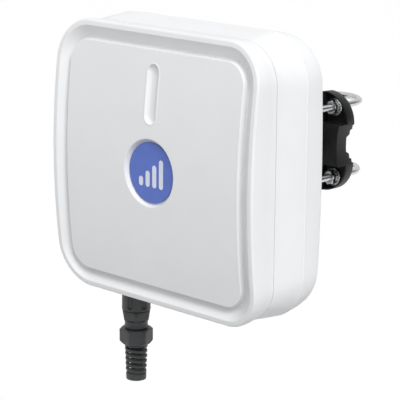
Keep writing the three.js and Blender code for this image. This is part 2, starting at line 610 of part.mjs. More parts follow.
const buildHousing = () => {
  const back = depth(BODY_DEPTH);
  const gasketGroove = band(GASKET_INSET - GAP, GASKET_INSET + GASKET_WIDTH + GAP,
    SEAM_DEPTH, gasketTop + GASKET_THICK + GAP);
  const coverScrews = square(COVER_SCREW_SPACING);
  const sleeves = coverScrews.map(([x, z]) =>
    rod('y', SLEEVE_DIAMETER / 2, depth(sleeveFace), inBackWall(z), [x, z], 14));
  const counterbores = coverScrews.flatMap(([x, z]) => [
    rod('y', coverScrewHead / 2 + 2 * GAP, depth(sleeveFace + SLEEVE_FLOOR), back + OVER, [x, z], 14),
    rod('y', COVER_SCREW / 2 + GAP, depth(sleeveFace - OVER), back, [x, z], 8),
  ]);
  const chassisScrews = square(CHASSIS_SCREW_SPACING);
  const chassisBosses = chassisScrews.map(([x, z]) =>
    rod('y', CHASSIS_BOSS / 2, depth(bossFace), inBackWall(z), [x, z], 10));
  const chassisPilots = chassisScrews.map(([x, z]) => rod('y', SMALL_SCREW / 2 + GAP,
    depth(bossFace - OVER), depth(bossFace + CHASSIS_PILOT_LENGTH), [x, z], 8));
  const baseBosses = baseScrews.map(([x, z]) =>
    rod('y', BASE_BOSS / 2, depth(BODY_DEPTH - BASE_BOSS_LENGTH), inBackWall(z), [x, z], 10));
  const basePilots = baseScrews.map(([x, z]) =>
    rod('y', BASE_SCREW / 2 + GAP, depth(BODY_DEPTH - BASE_BOSS_LENGTH - OVER), back + OVER, [x, z], 10));
  const seatHalf = BASE_SIZE / 2 + SEAT_MARGIN;
  const seat = block(-seatHalf, seatHalf, inBackWall(seatHalf), back, -seatHalf, seatHalf);
  const floorPad = (x, flange) => rod('z', flange / 2 + PORT_PAD_MARGIN,
    -PORT_FACE_Z, -PORT_FACE_Z + PORT_PAD_THICK, [x, PORT_Y], 20);
  const spotFace = (x, flange) => rod('z', flange / 2 + 1, -HALF - OVER, -PORT_FACE_Z, [x, PORT_Y], 24);
  const hole = (x, diameter) => rod('z', diameter / 2 + GAP,
    -PORT_FACE_Z - OVER, -PORT_FACE_Z + PORT_PAD_THICK + OVER, [x, PORT_Y], 20);
  const nutHalf = LOCK_NUT_FLATS / 2 / HEX + LOCK_NUT_ROOM;
  const nutRoom = block(PORT_X - nutHalf, PORT_X + nutHalf, depth(housingFace + FLANGE_THICK), PORT_Y,
    -PORT_FACE_Z + PORT_PAD_THICK, -PORT_FACE_Z + 30);
  return cut(
    join(cut(housingOutside, housingInside), seat, ...sleeves, ...chassisBosses, ...baseBosses,
      floorPad(PORT_X, PORT_FLANGE), floorPad(VENT_X, VENT_FLANGE)),
    gasketGroove, nutRoom, ...counterbores, ...chassisPilots, ...basePilots,
    spotFace(PORT_X, PORT_FLANGE), spotFace(VENT_X, VENT_FLANGE),
    hole(PORT_X, PORT_THREAD), hole(VENT_X, VENT_THREAD),
  );
};

addPart('rear_housing', WHITE, buildHousing());

// A screw along Y: a round head between two places, then a shank on to its tip.
const screw = (diameter, headDiameter, headFrom, headTo, tip, centre) => join(
  rod('y', headDiameter / 2, headFrom, headTo, centre, 12),
  rod('y', diameter / 2, (headFrom + headTo) / 2, tip, centre, 8),
);

square(COVER_SCREW_SPACING).forEach(([x, z], i) => {
  const seat = sleeveFace + SLEEVE_FLOOR + GAP;
  addPart(`cover_screw_${i + 1}`, STEEL, screw(COVER_SCREW, coverScrewHead,
    depth(seat + 3), depth(seat), depth(POST_END_DEPTH - COVER_PILOT_LENGTH + 2), [x, z]));
});

// ---------------------------------------------------------------- electronics

const chassisFront = depth(CHASSIS_DEPTH);
const chassisRear = depth(CHASSIS_DEPTH + CHASSIS_THICK);
const antennaRear = chassisFront - GAP - ANTENNA_SPACER_LENGTH - GAP;
const antennaFront = antennaRear - BOARD_THICK;
const boardFront = chassisRear + STANDOFF_LENGTH + GAP;
const boardRear = boardFront + BOARD_THICK;
const leadHoles = [-1, 1].map((side) => [side * (PATCH_SPACING / 2 - 4), MAIN_BOARD_TOP + LEAD_FROM_BOARD]);

const plateWithHoles = (width, height, from, to, holes, middleZ = 0) => cut(
  block(-width / 2, width / 2, from, to, middleZ - height / 2, middleZ + height / 2),
  ...holes.map(([x, z, diameter]) => rod('y', diameter / 2, from - OVER, to + OVER, [x, z], 8)),
);

const boardScrews = [-1, 1].flatMap((i) => [-1, 1].map((k) => [
  i * (MAIN_BOARD_WIDTH / 2 - BOARD_SCREW_INSET),
  MAIN_BOARD_Z + k * (MAIN_BOARD_HEIGHT / 2 - BOARD_SCREW_INSET),
]));
const clearHole = SMALL_SCREW + 2 * GAP;
const withHole = (places, diameter) => places.map(([x, z]) => [x, z, diameter]);

// The chassis plate carries the main board on four raised standoffs of its own.
const buildChassisPlate = () => {
  const plate = plateWithHoles(CHASSIS_SIZE, CHASSIS_SIZE, chassisFront, chassisRear, [
    ...withHole(square(CHASSIS_SCREW_SPACING), clearHole),
    ...withHole(square(ANTENNA_SPACER_SPACING), clearHole),
    ...withHole(leadHoles, COAX_DIAMETER * 2.4),
  ]);
  const standoffs = boardScrews.map(([x, z]) =>
    rod('y', STANDOFF_DIAMETER / 2, chassisRear - 0.5, chassisRear + STANDOFF_LENGTH, [x, z], 10));
  const threads = boardScrews.map(([x, z]) =>
    rod('y', clearHole / 2, chassisFront - OVER, chassisRear + STANDOFF_LENGTH + OVER, [x, z], 8));
  return cut(join(plate, ...standoffs), ...threads);
};

addPart('chassis_plate', ALUMINIUM, buildChassisPlate());
square(CHASSIS_SCREW_SPACING).forEach(([x, z], i) => {
  const seat = chassisFront - GAP;
  addPart(`chassis_screw_${i + 1}`, STEEL, screw(SMALL_SCREW, headOf(SMALL_SCREW),
    seat - 2.2, seat, chassisRear + CHASSIS_PILOT_LENGTH - 2, [x, z]));
});

addPart('antenna_board', LAMINATE, plateWithHoles(ANTENNA_BOARD_SIZE, ANTENNA_BOARD_SIZE,
  antennaFront, antennaRear, withHole(square(ANTENNA_SPACER_SPACING), clearHole)));
square(PATCH_SPACING).forEach(([x, z], i) => {
  const rear = antennaFront - GAP;
  const half = PATCH_SIZE / 2;
  addPart(`patch_element_${i + 1}`, BRASS,
    block(x - half, x + half, rear - PATCH_THICK, rear, z - half, z + half));
});
square(ANTENNA_SPACER_SPACING).forEach(([x, z], i) => {
  addPart(`antenna_spacer_${i + 1}`, GREY_PLASTIC, tube('y', clearHole / 2 + 1.7,
    clearHole / 2, chassisFront - GAP - ANTENNA_SPACER_LENGTH, chassisFront - GAP, [x, z], 10));
});

addPart('main_board', LAMINATE, plateWithHoles(MAIN_BOARD_WIDTH, MAIN_BOARD_HEIGHT, boardFront, boardRear,
  withHole(boardScrews, clearHole), MAIN_BOARD_Z));
const [shieldWidth, shieldHeight, shieldThick] = SHIELD_SIZE;
const shieldZ = MAIN_BOARD_TOP - SHIELD_FROM_TOP - shieldHeight / 2;
addPart('rf_shield', TIN, block(-shieldWidth / 2, shieldWidth / 2, boardRear + GAP,
  boardRear + GAP + shieldThick, shieldZ - shieldHeight / 2, shieldZ + shieldHeight / 2));

const [jackWidth, jackThick, jackLength] = JACK_SIZE;
const jackBottom = MAIN_BOARD_BOTTOM - JACK_OVERHANG;
const jackX = -((BASE_SCREW_SPACING + BASE_BOSS + jackWidth) / 2 + JACK_TO_BOSS);
const jackRear = boardRear + GAP + jackThick;
addPart('ethernet_jack', TIN, cut(
  block(jackX - jackWidth / 2, jackX + jackWidth / 2, boardRear + GAP, jackRear,
    jackBottom, jackBottom + jackLength),
  block(jackX - jackWidth / 2 + JACK_WALL, jackX + jackWidth / 2 - JACK_WALL, boardRear + GAP + JACK_WALL,
    jackRear - JACK_WALL, jackBottom - OVER, jackBottom + jackLength - 3 * JACK_WALL),
));

// A lead of one diameter along a smooth curve through points.
const lead = (points, diameter, steps) => {
  const shape = new THREE.Shape();
  shape.absarc(0, 0, diameter / 2, 0, 2 * Math.PI);
  const extrudePath = new THREE.CatmullRomCurve3(points.map((point) => new THREE.Vector3(...point)));
  return solid(new THREE.ExtrudeGeometry(shape, { extrudePath, steps, curveSegments: 4 }));
};

const coaxRise = boardRear + COAX_RISE;
leadHoles.forEach(([x, z], i) => {
  addPart(`coax_lead_${i + 1}`, BRASS, lead([
    [x, boardRear + GAP, z - 16], [x, coaxRise, z - 15], [x, coaxRise + 1, z - 9], [x, coaxRise - 2, z - 2],
    [x, boardFront - 2, z], [x, chassisFront - 2, z], [x, antennaRear + GAP, z],
  ], COAX_DIAMETER, 16));
});

// ---------------------------------------------------------------- cable port

const portAxis = [PORT_X, PORT_Y];
const portSealTop = -PORT_FACE_Z - GAP;
const flangeTop = portSealTop - PORT_SEAL_THICK - GAP;
const flangeBottom = flangeTop - PORT_FLANGE_THICK;
const ringTop = flangeBottom - GAP;
const ringBottom = ringTop - RING_LENGTH;
const lipTop = ringBottom + RING_LIP;
const padTop = -PORT_FACE_Z + PORT_PAD_THICK;
const plugFlangeTop = lipTop + GAP + PLUG_FLANGE_THICK;
const receptacleTop = padTop + LOCK_NUT_THICK + PORT_THREAD_SPARE;
const receptacleBottom = plugFlangeTop + GAP;

addPart('port_receptacle', NYLON, cut(
  join(
    rod('z', PORT_THREAD / 2, receptacleBottom, receptacleTop, portAxis, 24),
    rod('z', PORT_FLANGE / 2, flangeBottom, flangeTop, portAxis, 24),
  ),
  rod('z', PORT_BORE / 2, receptacleBottom - OVER, receptacleTop + OVER, portAxis, 20),
));
addPart('port_seal', RUBBER, tube('z', PORT_FLANGE / 2 - PORT_SEAL_INSET, PORT_THREAD / 2 + GAP,
  portSealTop - PORT_SEAL_THICK, portSealTop, portAxis, 24));
addPart('port_lock_nut', NYLON, hexNut('z', LOCK_NUT_FLATS, PORT_THREAD + 2 * GAP,
  padTop + GAP, padTop + GAP + LOCK_NUT_THICK, portAxis, Math.PI / 6));

// The ring's flutes stop short of its lower edge in rounded ends.
const buildCouplingRing = () => {
  const radius = RING_DIAMETER / 2;
  const boreRadius = PORT_THREAD / 2 + GAP;
  const fluteRadius = radius * Math.sin(Math.PI / FLUTES) * FLUTE_SHARE;
  const fluteEnd = ringBottom + FLUTE_FROM_END;
  const flutes = [];
  for (let i = 0; i < FLUTES; i += 1) {
    const angle = THREE.MathUtils.degToRad(FLUTE_TURN) + (i * 2 * Math.PI) / FLUTES;
    const out = radius + fluteRadius * FLUTE_STANDS_OUT;
    const centre = [PORT_X + out * Math.cos(angle), PORT_Y + out * Math.sin(angle)];
    const tip = rod('z', fluteRadius * 0.3, fluteEnd - fluteRadius * 0.8, fluteEnd, centre, 8, fluteRadius);
    flutes.push(rod('z', fluteRadius, fluteEnd, ringTop + OVER, centre, 8), tip);
  }
  return cut(
    chamferedRod('z', radius, ringBottom, ringTop, portAxis, RING_BEVEL, 24),
    rod('z', boreRadius, lipTop, ringTop + OVER, portAxis, 24),
    rod('z', PLUG_COLLAR / 2 + GAP, ringBottom - OVER, ringTop, portAxis, 24),
    ...flutes,
  );
};

addPart('coupling_ring', NYLON, buildCouplingRing());

const plugHexTop = ringBottom - GAP;
const plugHexBottom = plugHexTop - PLUG_HEX_LENGTH;
const clampTop = plugHexBottom - NECK_LENGTH;
const clampBottom = clampTop - CLAMP_LENGTH;
const clampFloor = clampBottom + CLAMP_FLOOR;
const plugThreadEnd = clampFloor + 1;

// The plug's body tapers as a six-sided cone rounded off by a true cone.
const buildPlugBody = () => {
  const top = RING_DIAMETER / 2 - 0.1;
  const bottom = NECK_DIAMETER / 2 + 1.1;
  const turn = cornerTurn(PLUG_HEX_TURN);
  const round = rod('z', bottom, plugHexBottom, plugHexTop, portAxis, 24, top);
  const hex = rod('z', bottom + 0.5, plugHexBottom, plugHexTop, portAxis, 6, top + 0.7, turn);
  return cut(
    join(
      rod('z', PORT_THREAD / 2 - 0.1, lipTop + GAP, plugFlangeTop, portAxis, 24),
      rod('z', PLUG_COLLAR / 2, plugHexTop - 0.5, plugFlangeTop - 0.5, portAxis, 24),
      round.intersect(hex),
      rod('z', NECK_DIAMETER / 2, clampTop + GAP, plugHexBottom + 0.5, portAxis, 24),
      rod('z', CLAMP_THREAD / 2, plugThreadEnd, clampTop + 1, portAxis, 24),
    ),
    rod('z', PORT_BORE / 2, plugHexBottom, plugFlangeTop + OVER, portAxis, 24),
    rod('z', PLUG_SEAL_BORE / 2, plugThreadEnd - OVER, plugHexBottom + 0.1, portAxis, 24),
  );
};

addPart('plug_body', NYLON, buildPlugBody());

const sealBottom = clampFloor + GAP;
addPart('cable_seal', RUBBER, tube('z', PLUG_SEAL_BORE / 2 - GAP, CABLE_BORE / 2,
  sealBottom, sealBottom + CABLE_SEAL_LENGTH, portAxis, 24));

const spiralBore = SPIRAL_DIAMETER - 2 * SPIRAL_WALL;
const spiralTop = clampBottom - COLLAR_LENGTH;
const spiralLength = SPIRAL_TURNS * SPIRAL_PITCH + SPIRAL_BAND * 0.6;
const spiralBottom = spiralTop - spiralLength;
const endRingBottom = spiralBottom - END_RING_LENGTH;

// A tapering helical band. Its ends run into the collar above and the ring below.
const spiralBand = () => {
  const stepsPerTurn = 14;
  const start = spiralTop + SPIRAL_BAND * 0.1;
  const end = spiralBottom - SPIRAL_BAND * 0.1;
  const turns = (start - end) / SPIRAL_PITCH;
  const steps = Math.round(turns * stepsPerTurn);
  const rings = [];
  for (let i = 0; i <= steps; i += 1) {
    const share = i / steps;
    const angle = share * turns * 2 * Math.PI;
    const z = start + (end - start) * share;
    const outer = (SPIRAL_DIAMETER + (SPIRAL_END_DIAMETER - SPIRAL_DIAMETER) * share) / 2;
    const inner = spiralBore / 2;
    const h = SPIRAL_BAND / 2;
    const section = [
      [inner, -h], [outer - SPIRAL_BEVEL, -h], [outer, -h * 0.3],
      [outer, h * 0.3], [outer - SPIRAL_BEVEL, h], [inner, h],
    ];
    rings.push(section.map(([radius, rise]) => new THREE.Vector3(
      PORT_X + radius * Math.cos(angle), PORT_Y + radius * Math.sin(angle), z + rise)));
  }
  return loft(rings);
};

const buildClampNut = () => {
  const inner = spiralBore / 2;
  const radius = CLAMP_FLATS / 2 / HEX;
  const turn = cornerTurn(CLAMP_TURN);
  const hex = rod('z', radius, clampBottom, clampTop, portAxis, 6, radius, turn);
  const lowered = join(
    rod('z', radius * HEX * 0.92, clampBottom, clampBottom + 3, portAxis, 24, radius + 0.2),
    rod('z', radius + 0.2, clampBottom + 3, clampTop, portAxis, 24),
  );
  const collar = rod('z', SPIRAL_DIAMETER / 2 + 0.1, spiralTop, clampBottom + 1, portAxis, 24);
  const endRing = rod('z', SPIRAL_END_DIAMETER / 2 - 0.4, endRingBottom, endRingBottom + 1, portAxis, 24,
    SPIRAL_END_DIAMETER / 2);
  const endBand = rod('z', SPIRAL_END_DIAMETER / 2, endRingBottom + 1, spiralBottom, portAxis, 24);
  const bored = cut(
    join(hex.intersect(lowered), collar, endRing, endBand),
    rod('z', inner, endRingBottom - OVER, clampFloor + 0.1, portAxis, 24),
    rod('z', CLAMP_THREAD / 2 + GAP, clampFloor, clampTop + OVER, portAxis, 24),
  );
  return join(bored, spiralBand());
};

addPart('clamp_nut', NYLON, buildClampNut());

// The pressure vent beside the port, a domed cap over a threaded stem.
const ventAxis = [VENT_X, PORT_Y];
const ventTop = -PORT_FACE_Z - GAP;
const ventBottom = ventTop - VENT_THICK;
addPart('vent_plug', NYLON, cut(
  join(
    chamferedRod('z', VENT_FLANGE / 2, ventBottom, ventTop, ventAxis, 1, 20),
    rod('z', VENT_THREAD / 2, ventTop - 0.7, padTop + 3, ventAxis, 16),
  ),
  rod('z', VENT_THREAD / 4, ventBottom - OVER, padTop + 3 + OVER, ventAxis, 10),
));

// ---------------------------------------------------------------- mast clamp

const uMiddles = [1, -1].map((side) => side * U_BOLT_SPACING / 2);
const legs = [-1, 1].map((side) => side * U_SPREAD / 2);
const pocketFloorY = PLATE_FRONT_Y + POCKET_DEPTH;

// The plate's outline: a rounded square whose sides dip in at their middles.
const plateShape = () => {
  const half = PLATE_SIZE / 2;
  const flat = half - PLATE_CORNER;
  const shape = new THREE.Shape();
  for (let k = 0; k < 4; k += 1) {
    const turn = (k * Math.PI) / 2;
    const at = (x, y) => [x * Math.cos(turn) - y * Math.sin(turn), x * Math.sin(turn) + y * Math.cos(turn)];
    const [cx, cy] = at(flat, flat);
    shape.absarc(cx, cy, PLATE_CORNER, turn, turn + Math.PI / 2);
    const [mx, my] = at(0, half - 2 * PLATE_DIP);
    const [ex, ey] = at(-flat, half);
    shape.quadraticCurveTo(mx, my, ex, ey);
  }
  return shape;
};

// A pocket in one lobe of the plate: a square corner inside, an arc outside.
const pocketShape = (sx, sz) => {
  const near = BAR_WIDTH / 2 + GAP;
  const far = PLATE_SIZE / 2 - POCKET_RIM;
  const radius = PLATE_CORNER - POCKET_RIM;
  const middle = far - radius;
  const steps = 6;
  const startAngle = 0.14;
  const points = [[near, near], [far - 0.6, near]];
  for (let i = 0; i <= steps; i += 1) {
    const angle = startAngle + ((Math.PI / 2 - 2 * startAngle) * i) / steps;
    points.push([middle + radius * Math.cos(angle), middle + radius * Math.sin(angle)]);
  }
  points.push([near, far - 0.6]);
  const placed = points.map(([x, z]) => new THREE.Vector2(x * sx, z * sz));
  return new THREE.Shape(sx * sz > 0 ? placed : placed.reverse());
};

const grooveShape = () => {
  const side = GROOVE_STEPS.map(([half, share]) => [half, PLATE_REAR_Y - share * GROOVE_FLOOR_DEPTH]);
  const rear = PLATE_REAR_Y + OVER;
  const [edge] = GROOVE_STEPS.at(-1);
  const outline = [...side, [edge, rear]];
  const mirrored = outline.map(([half, y]) => [-half, y]).reverse();
  return [...outline, ...mirrored];
};

const buildMastPlate = () => {
  const half = PLATE_SIZE / 2 + OVER;
  const plate = prism(plateShape(), 'y', PLATE_FRONT_Y, PLATE_REAR_Y, 5);
  const column = block(-BAR_WIDTH / 2, BAR_WIDTH / 2, BAR_FRONT_Y, PLATE_REAR_Y, -half, half);
  const row = block(-half, half, BAR_FRONT_Y, PLATE_REAR_Y, -BAR_WIDTH / 2, BAR_WIDTH / 2);
  const outline = prism(plateShape(), 'y', BAR_FRONT_Y - OVER, PLATE_REAR_Y + OVER, 5);
  const cross = join(column, row).intersect(outline);
  const groove = grooveShape();
  const upright = new THREE.Shape(groove.map(([x, y]) => new THREE.Vector2(x, y)));
  const crossways = new THREE.Shape(groove.map(([z, y]) => new THREE.Vector2(y, z)));
  const pockets = CORNERS.map(([sx, sz]) =>
    prism(pocketShape(sx, sz), 'y', PLATE_FRONT_Y - OVER, pocketFloorY));
  const legHoles = uMiddles.flatMap((z) => legs.map((x) =>
    rod('y', U_ROD / 2 + 0.5, PLATE_FRONT_Y - OVER, PLATE_REAR_Y + OVER, [x, z], 12)));
  const screwHoles = armScrews.map(([x, z]) => rod('y', ARM_SCREW / 2 + GAP,
    BAR_FRONT_Y - OVER, BAR_FRONT_Y + ARM_SCREW_REACH + 1.5, [x, z], 8));
  return cut(
    join(plate, cross),
    prism(upright, 'z', -half, half),
    prism(crossways, 'x', -half, half),
    ...pockets, ...legHoles, ...screwHoles,
  );
};

addPart('mast_plate', BLACK, buildMastPlate());

// A U-bolt: two straight legs joined by a half-turn round the mast.
const buildUBolt = (z) => {
  const bendY = MAST_DIAMETER / 2 + MAST_TO_BEND - (U_SPREAD - U_ROD) / 2;
  const reach = U_SPREAD / 2;
  const legEnd = bendY - U_LEG_LENGTH;
  const path = [[reach, legEnd, 0], [reach, legEnd + 1, 0]];
  const bendSteps = 12;
  for (let i = 0; i <= bendSteps; i += 1) {
    const angle = (i / bendSteps) * Math.PI;
    path.push([reach * Math.cos(angle), bendY + reach * Math.sin(angle), angle]);
  }
  path.push([-reach, legEnd + 1, Math.PI], [-reach, legEnd, Math.PI]);
  const sides = 10;
  const rings = path.map(([x, y, angle], step) => {
    const atTip = step === 0 || step === path.length - 1;
    const radius = U_ROD / 2 - (atTip ? U_TIP_BEVEL : 0);
    return Array.from({ length: sides }, (_, k) => {
      const around = ((k + 0.5) * 2 * Math.PI) / sides;
      const out = radius * Math.cos(around);
      const up = radius * Math.sin(around);
      return new THREE.Vector3(x + out * Math.cos(angle), y + out * Math.sin(angle), z + up);
    });
  });
  return loft(rings);
};

['upper', 'lower'].forEach((name, row) => {
  const z = uMiddles[row];
  addPart(`u_bolt_${name}`, STEEL, buildUBolt(z));
  ['left', 'right'].forEach((side, column) => {
    const x = legs[column];
    const washerRear = pocketFloorY - GAP;
    const nutRear = washerRear - WASHER_THICK - GAP;
    addPart(`washer_${name}_${side}`, STEEL, tube('y', WASHER_DIAMETER / 2, U_ROD / 2 + 0.4,
      washerRear - WASHER_THICK, washerRear, [x, z], 20));
    addPart(`nut_${name}_${side}`, STEEL, hexNut('y', NUT_FLATS, U_ROD + 2 * GAP,
      nutRear - NUT_HEIGHT, nutRear, [x, z], NUT_TURN));
  });
});

// ---------------------------------------------------------------- tilting arm and base

const armFace = BAR_FRONT_Y - GAP;
const armFlangeFront = armFace - ARM_FLANGE_THICK;

const buildTiltArm = () => {
  const [side, top] = [ARM_FLANGE_WIDTH / 2, ARM_FLANGE_HEIGHT / 2];
  const root = top - NECK_INSET;
  const neck = new THREE.Shape();
  neck.moveTo(armFlangeFront + 1, root);
  neck.lineTo(armFlangeFront - NECK_FLARE, PIVOT_BOSS_RADIUS);
  neck.lineTo(PIVOT_Y, PIVOT_BOSS_RADIUS);
  neck.absarc(PIVOT_Y, 0, PIVOT_BOSS_RADIUS, Math.PI / 2, Math.PI * 1.5);
  neck.lineTo(armFlangeFront - NECK_FLARE, -PIVOT_BOSS_RADIUS);
  neck.lineTo(armFlangeFront + 1, -root);
  const holes = armScrews.map(([x, z]) =>
    rod('y', ARM_SCREW / 2 + 0.4, armFlangeFront - OVER, armFace + OVER, [x, z], 8));
  const lightener = new THREE.Shape();
  const [from, to] = [PIVOT_Y + PIVOT_BOSS_RADIUS + 5, armFlangeFront - 5];
  lightener.moveTo(from, -6).lineTo(to, -8).lineTo(to, 8).lineTo(from, 6);
  return cut(
    join(
      block(-side, side, armFlangeFront, armFace, -top, top),
      prism(neck, 'x', -TONGUE_WIDTH / 2, TONGUE_WIDTH / 2, 6),
    ),
    prism(lightener, 'x', -TONGUE_WIDTH / 2 - OVER, -TONGUE_WEB / 2),
    prism(lightener, 'x', TONGUE_WEB / 2, TONGUE_WIDTH / 2 + OVER),
    rod('x', TILT_BOLT / 2 + GAP, -TONGUE_WIDTH, TONGUE_WIDTH, [PIVOT_Y, 0], 24),
    ...holes,
  );
};

addPart('tilt_arm', BLACK, buildTiltArm());
armScrews.forEach(([x, z], i) => {
  const seat = armFlangeFront - GAP;
  addPart(`arm_screw_${i + 1}`, STEEL, screw(ARM_SCREW, ARM_SCREW_HEAD,
    seat - ARM_SCREW * 0.8, seat, BAR_FRONT_Y + ARM_SCREW_REACH, [x, z]));
});

const baseFront = BACK_Y + GAP;
const baseRear = baseFront + BASE_THICK;
const earInside = TONGUE_WIDTH / 2 + TONGUE_ROOM;
const earOutside = earInside + EAR_WIDTH;

const buildMountBase = () => {
  const flat = BASE_SIZE / 2 - BASE_CORNER;
  const plate = new THREE.Shape();
  [[1, 1], [-1, 1], [-1, -1], [1, -1]].forEach(([sx, sz], k) => {
    const angle = (k * Math.PI) / 2;
    plate.absarc(sx * flat, sz * flat, BASE_CORNER, angle, angle + Math.PI / 2);
  });
  const foot = EAR_FOOT / 2;
  const ear = new THREE.Shape();
  ear.moveTo(baseRear - 1, -foot);
  ear.lineTo(baseRear + 4, -foot + 3);
  ear.lineTo(PIVOT_Y, -PIVOT_BOSS_RADIUS);
  ear.absarc(PIVOT_Y, 0, PIVOT_BOSS_RADIUS, -Math.PI / 2, Math.PI / 2);
  ear.lineTo(baseRear + 4, foot - 3);
  ear.lineTo(baseRear - 1, foot);
  const holes = baseScrews.map(([x, z]) =>
    rod('y', BASE_SCREW / 2 + 0.4, baseFront - OVER, baseRear + OVER, [x, z], 8));
  return cut(
    join(
      prism(plate, 'y', baseFront, baseRear),
      prism(ear, 'x', earInside, earOutside, 6),
      prism(ear, 'x', -earOutside, -earInside, 6),
    ),
    rod('x', TILT_BOLT / 2 + GAP, -earOutside - OVER, earOutside + OVER, [PIVOT_Y, 0], 24),
    ...holes,
  );
};

addPart('mount_base', BLACK, buildMountBase());
baseScrews.forEach(([x, z], i) => {
  const seat = baseRear + GAP;
  addPart(`base_screw_${i + 1}`, STEEL, screw(BASE_SCREW, headOf(BASE_SCREW),
    seat + 3, seat, depth(BODY_DEPTH - BASE_BOSS_LENGTH + 1), [x, z]));
});

const washerInside = earOutside + GAP;
const washerOutside = washerInside + TILT_WASHER_THICK;
const tiltNutInside = washerOutside + GAP;
const tiltNutOutside = tiltNutInside + TILT_NUT;
const pivotAxis = [PIVOT_Y, 0];
addPart('tilt_bolt', STEEL, join(
  hexNut('x', TILT_HEX, 0, tiltNutInside, tiltNutInside + TILT_HEAD, pivotAxis),
  rod('x', TILT_BOLT / 2, -tiltNutOutside - TILT_TIP, tiltNutInside + 1, pivotAxis, 16),
));
addPart('tilt_nut', STEEL, hexNut('x', TILT_HEX, TILT_BOLT + 2 * GAP,
  -tiltNutOutside, -tiltNutInside, pivotAxis));
[['right', 1], ['left', -1]].forEach(([side, sign]) => {
  addPart(`tilt_washer_${side}`, STEEL, tube('x', TILT_BOLT, TILT_BOLT / 2 + 0.4,
    sign * washerInside, sign * washerOutside, pivotAxis, 20));
});

export default model;
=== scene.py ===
import math

import bmesh
import bpy
from mathutils import Matrix, Vector
from mathutils.geometry import delaunay_2d_cdt


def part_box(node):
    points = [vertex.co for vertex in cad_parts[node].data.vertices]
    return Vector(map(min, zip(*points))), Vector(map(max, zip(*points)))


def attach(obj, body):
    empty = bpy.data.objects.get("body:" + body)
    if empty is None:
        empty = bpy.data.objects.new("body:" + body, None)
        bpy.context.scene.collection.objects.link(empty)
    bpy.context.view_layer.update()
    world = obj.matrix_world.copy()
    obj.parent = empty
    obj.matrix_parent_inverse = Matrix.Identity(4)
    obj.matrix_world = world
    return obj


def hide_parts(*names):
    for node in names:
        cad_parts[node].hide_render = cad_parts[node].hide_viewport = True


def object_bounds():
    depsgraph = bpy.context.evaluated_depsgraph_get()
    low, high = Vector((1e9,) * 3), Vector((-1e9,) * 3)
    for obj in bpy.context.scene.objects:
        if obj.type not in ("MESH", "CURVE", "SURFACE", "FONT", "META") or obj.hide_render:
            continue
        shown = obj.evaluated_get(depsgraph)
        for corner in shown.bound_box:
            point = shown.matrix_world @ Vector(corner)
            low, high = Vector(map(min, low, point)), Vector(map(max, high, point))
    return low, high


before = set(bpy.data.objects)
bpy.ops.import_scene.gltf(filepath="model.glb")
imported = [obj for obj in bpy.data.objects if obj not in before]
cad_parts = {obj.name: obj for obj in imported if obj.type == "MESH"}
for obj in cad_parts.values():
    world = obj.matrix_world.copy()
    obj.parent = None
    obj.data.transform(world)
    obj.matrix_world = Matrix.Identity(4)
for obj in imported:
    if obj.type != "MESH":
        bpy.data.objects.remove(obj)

cad_low, cad_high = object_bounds()

MM = 0.001
TAU = 2 * math.pi


# ---------------------------------------------------------------- places read from the frame

def middle(node):
    low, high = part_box(node)
    return (low + high) / 2


HOUSING_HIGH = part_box("rear_housing")[1]
HALF = HOUSING_HIGH.x                     # half the widest width and height
BACK_Y = HOUSING_HIGH.y                   # the bracket's seat on the back
BODY_DEPTH = 82.5 * MM                    # corners of the front panel to the seat
FACE_Y = BACK_Y - BODY_DEPTH
BOW = 9 * MM                              # how far the front bows forwards at mid-height
BACK_BOW = 4 * MM                         # and the back rearwards
SEAT_RISE = 0.5 * MM                      # the seat stands out from the middle of the back
SEAT_HALF = 43.5 * MM
BOW_HALF = 0.88 * HALF                    # height at which either bow is nil
BACK_EDGE_DEPTH = BODY_DEPTH - SEAT_RISE - BACK_BOW
BACK_SHARE = -BACK_BOW / BOW              # the back's bow, as a share of the front's
FRONT_CORNER = 40 * MM
REAR_CORNER = 43.5 * MM
LEAST_CORNER = 4 * MM
WALL = 3 * MM
PANEL_WALL = 3.4 * MM
PANEL_INSET = 20.4 * MM
GAP = 0.3 * MM                            # between pieces that touch

PORT = middle("coupling_ring")
VENT = middle("vent_plug")
FLOOR_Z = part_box("port_seal")[1].z + GAP  # the flat round the port, under the bottom wall
PORT_FLANGE, PORT_THREAD = 28 * MM, 20.6 * MM      # across
VENT_FLANGE, VENT_THREAD = 18 * MM, 12 * MM
GLAND_BORE = 6.5 * MM                     # radius inside the receptacle and the plug
SPIRAL_BORE = 7.6 * MM                    # radius inside the clamp nut's spiral
COLLAR = 10.7 * MM                        # radius of the plug's neck and of the clamp nut's collar
SIXTH = TAU / 6


# ---------------------------------------------------------------- camera, floor and lights

def make_camera():
    """A long lens from the right of the front, a little above."""
    azimuth, elevation, roll = math.radians(44.04), math.radians(13.57), math.radians(0.54)
    target, distance = Vector((0.00228, -0.1769, -0.0353)), 1.6153
    level = math.cos(elevation)
    back = Vector((math.sin(azimuth) * level, -math.cos(azimuth) * level, math.sin(elevation)))
    right = Vector((math.cos(azimuth), math.sin(azimuth), 0))
    up = back.cross(right)
    tilted_right = right * math.cos(roll) + up * math.sin(roll)
    tilted_up = up * math.cos(roll) - right * math.sin(roll)
    data = bpy.data.cameras.new("camera")
    data.sensor_width = 36
    data.lens = 163.27
    data.clip_start, data.clip_end = 0.05, 50
    camera = bpy.data.objects.new("camera", data)
    bpy.context.scene.collection.objects.link(camera)
    camera.matrix_world = Matrix((
        (tilted_right.x, tilted_up.x, back.x, 0),
        (tilted_right.y, tilted_up.y, back.y, 0),
        (tilted_right.z, tilted_up.z, back.z, 0),
        (0, 0, 0, 1),
    ))
    camera.location = target + back * distance
    bpy.context.scene.camera = camera


def link(obj):
    bpy.context.scene.collection.objects.link(obj)
    return obj


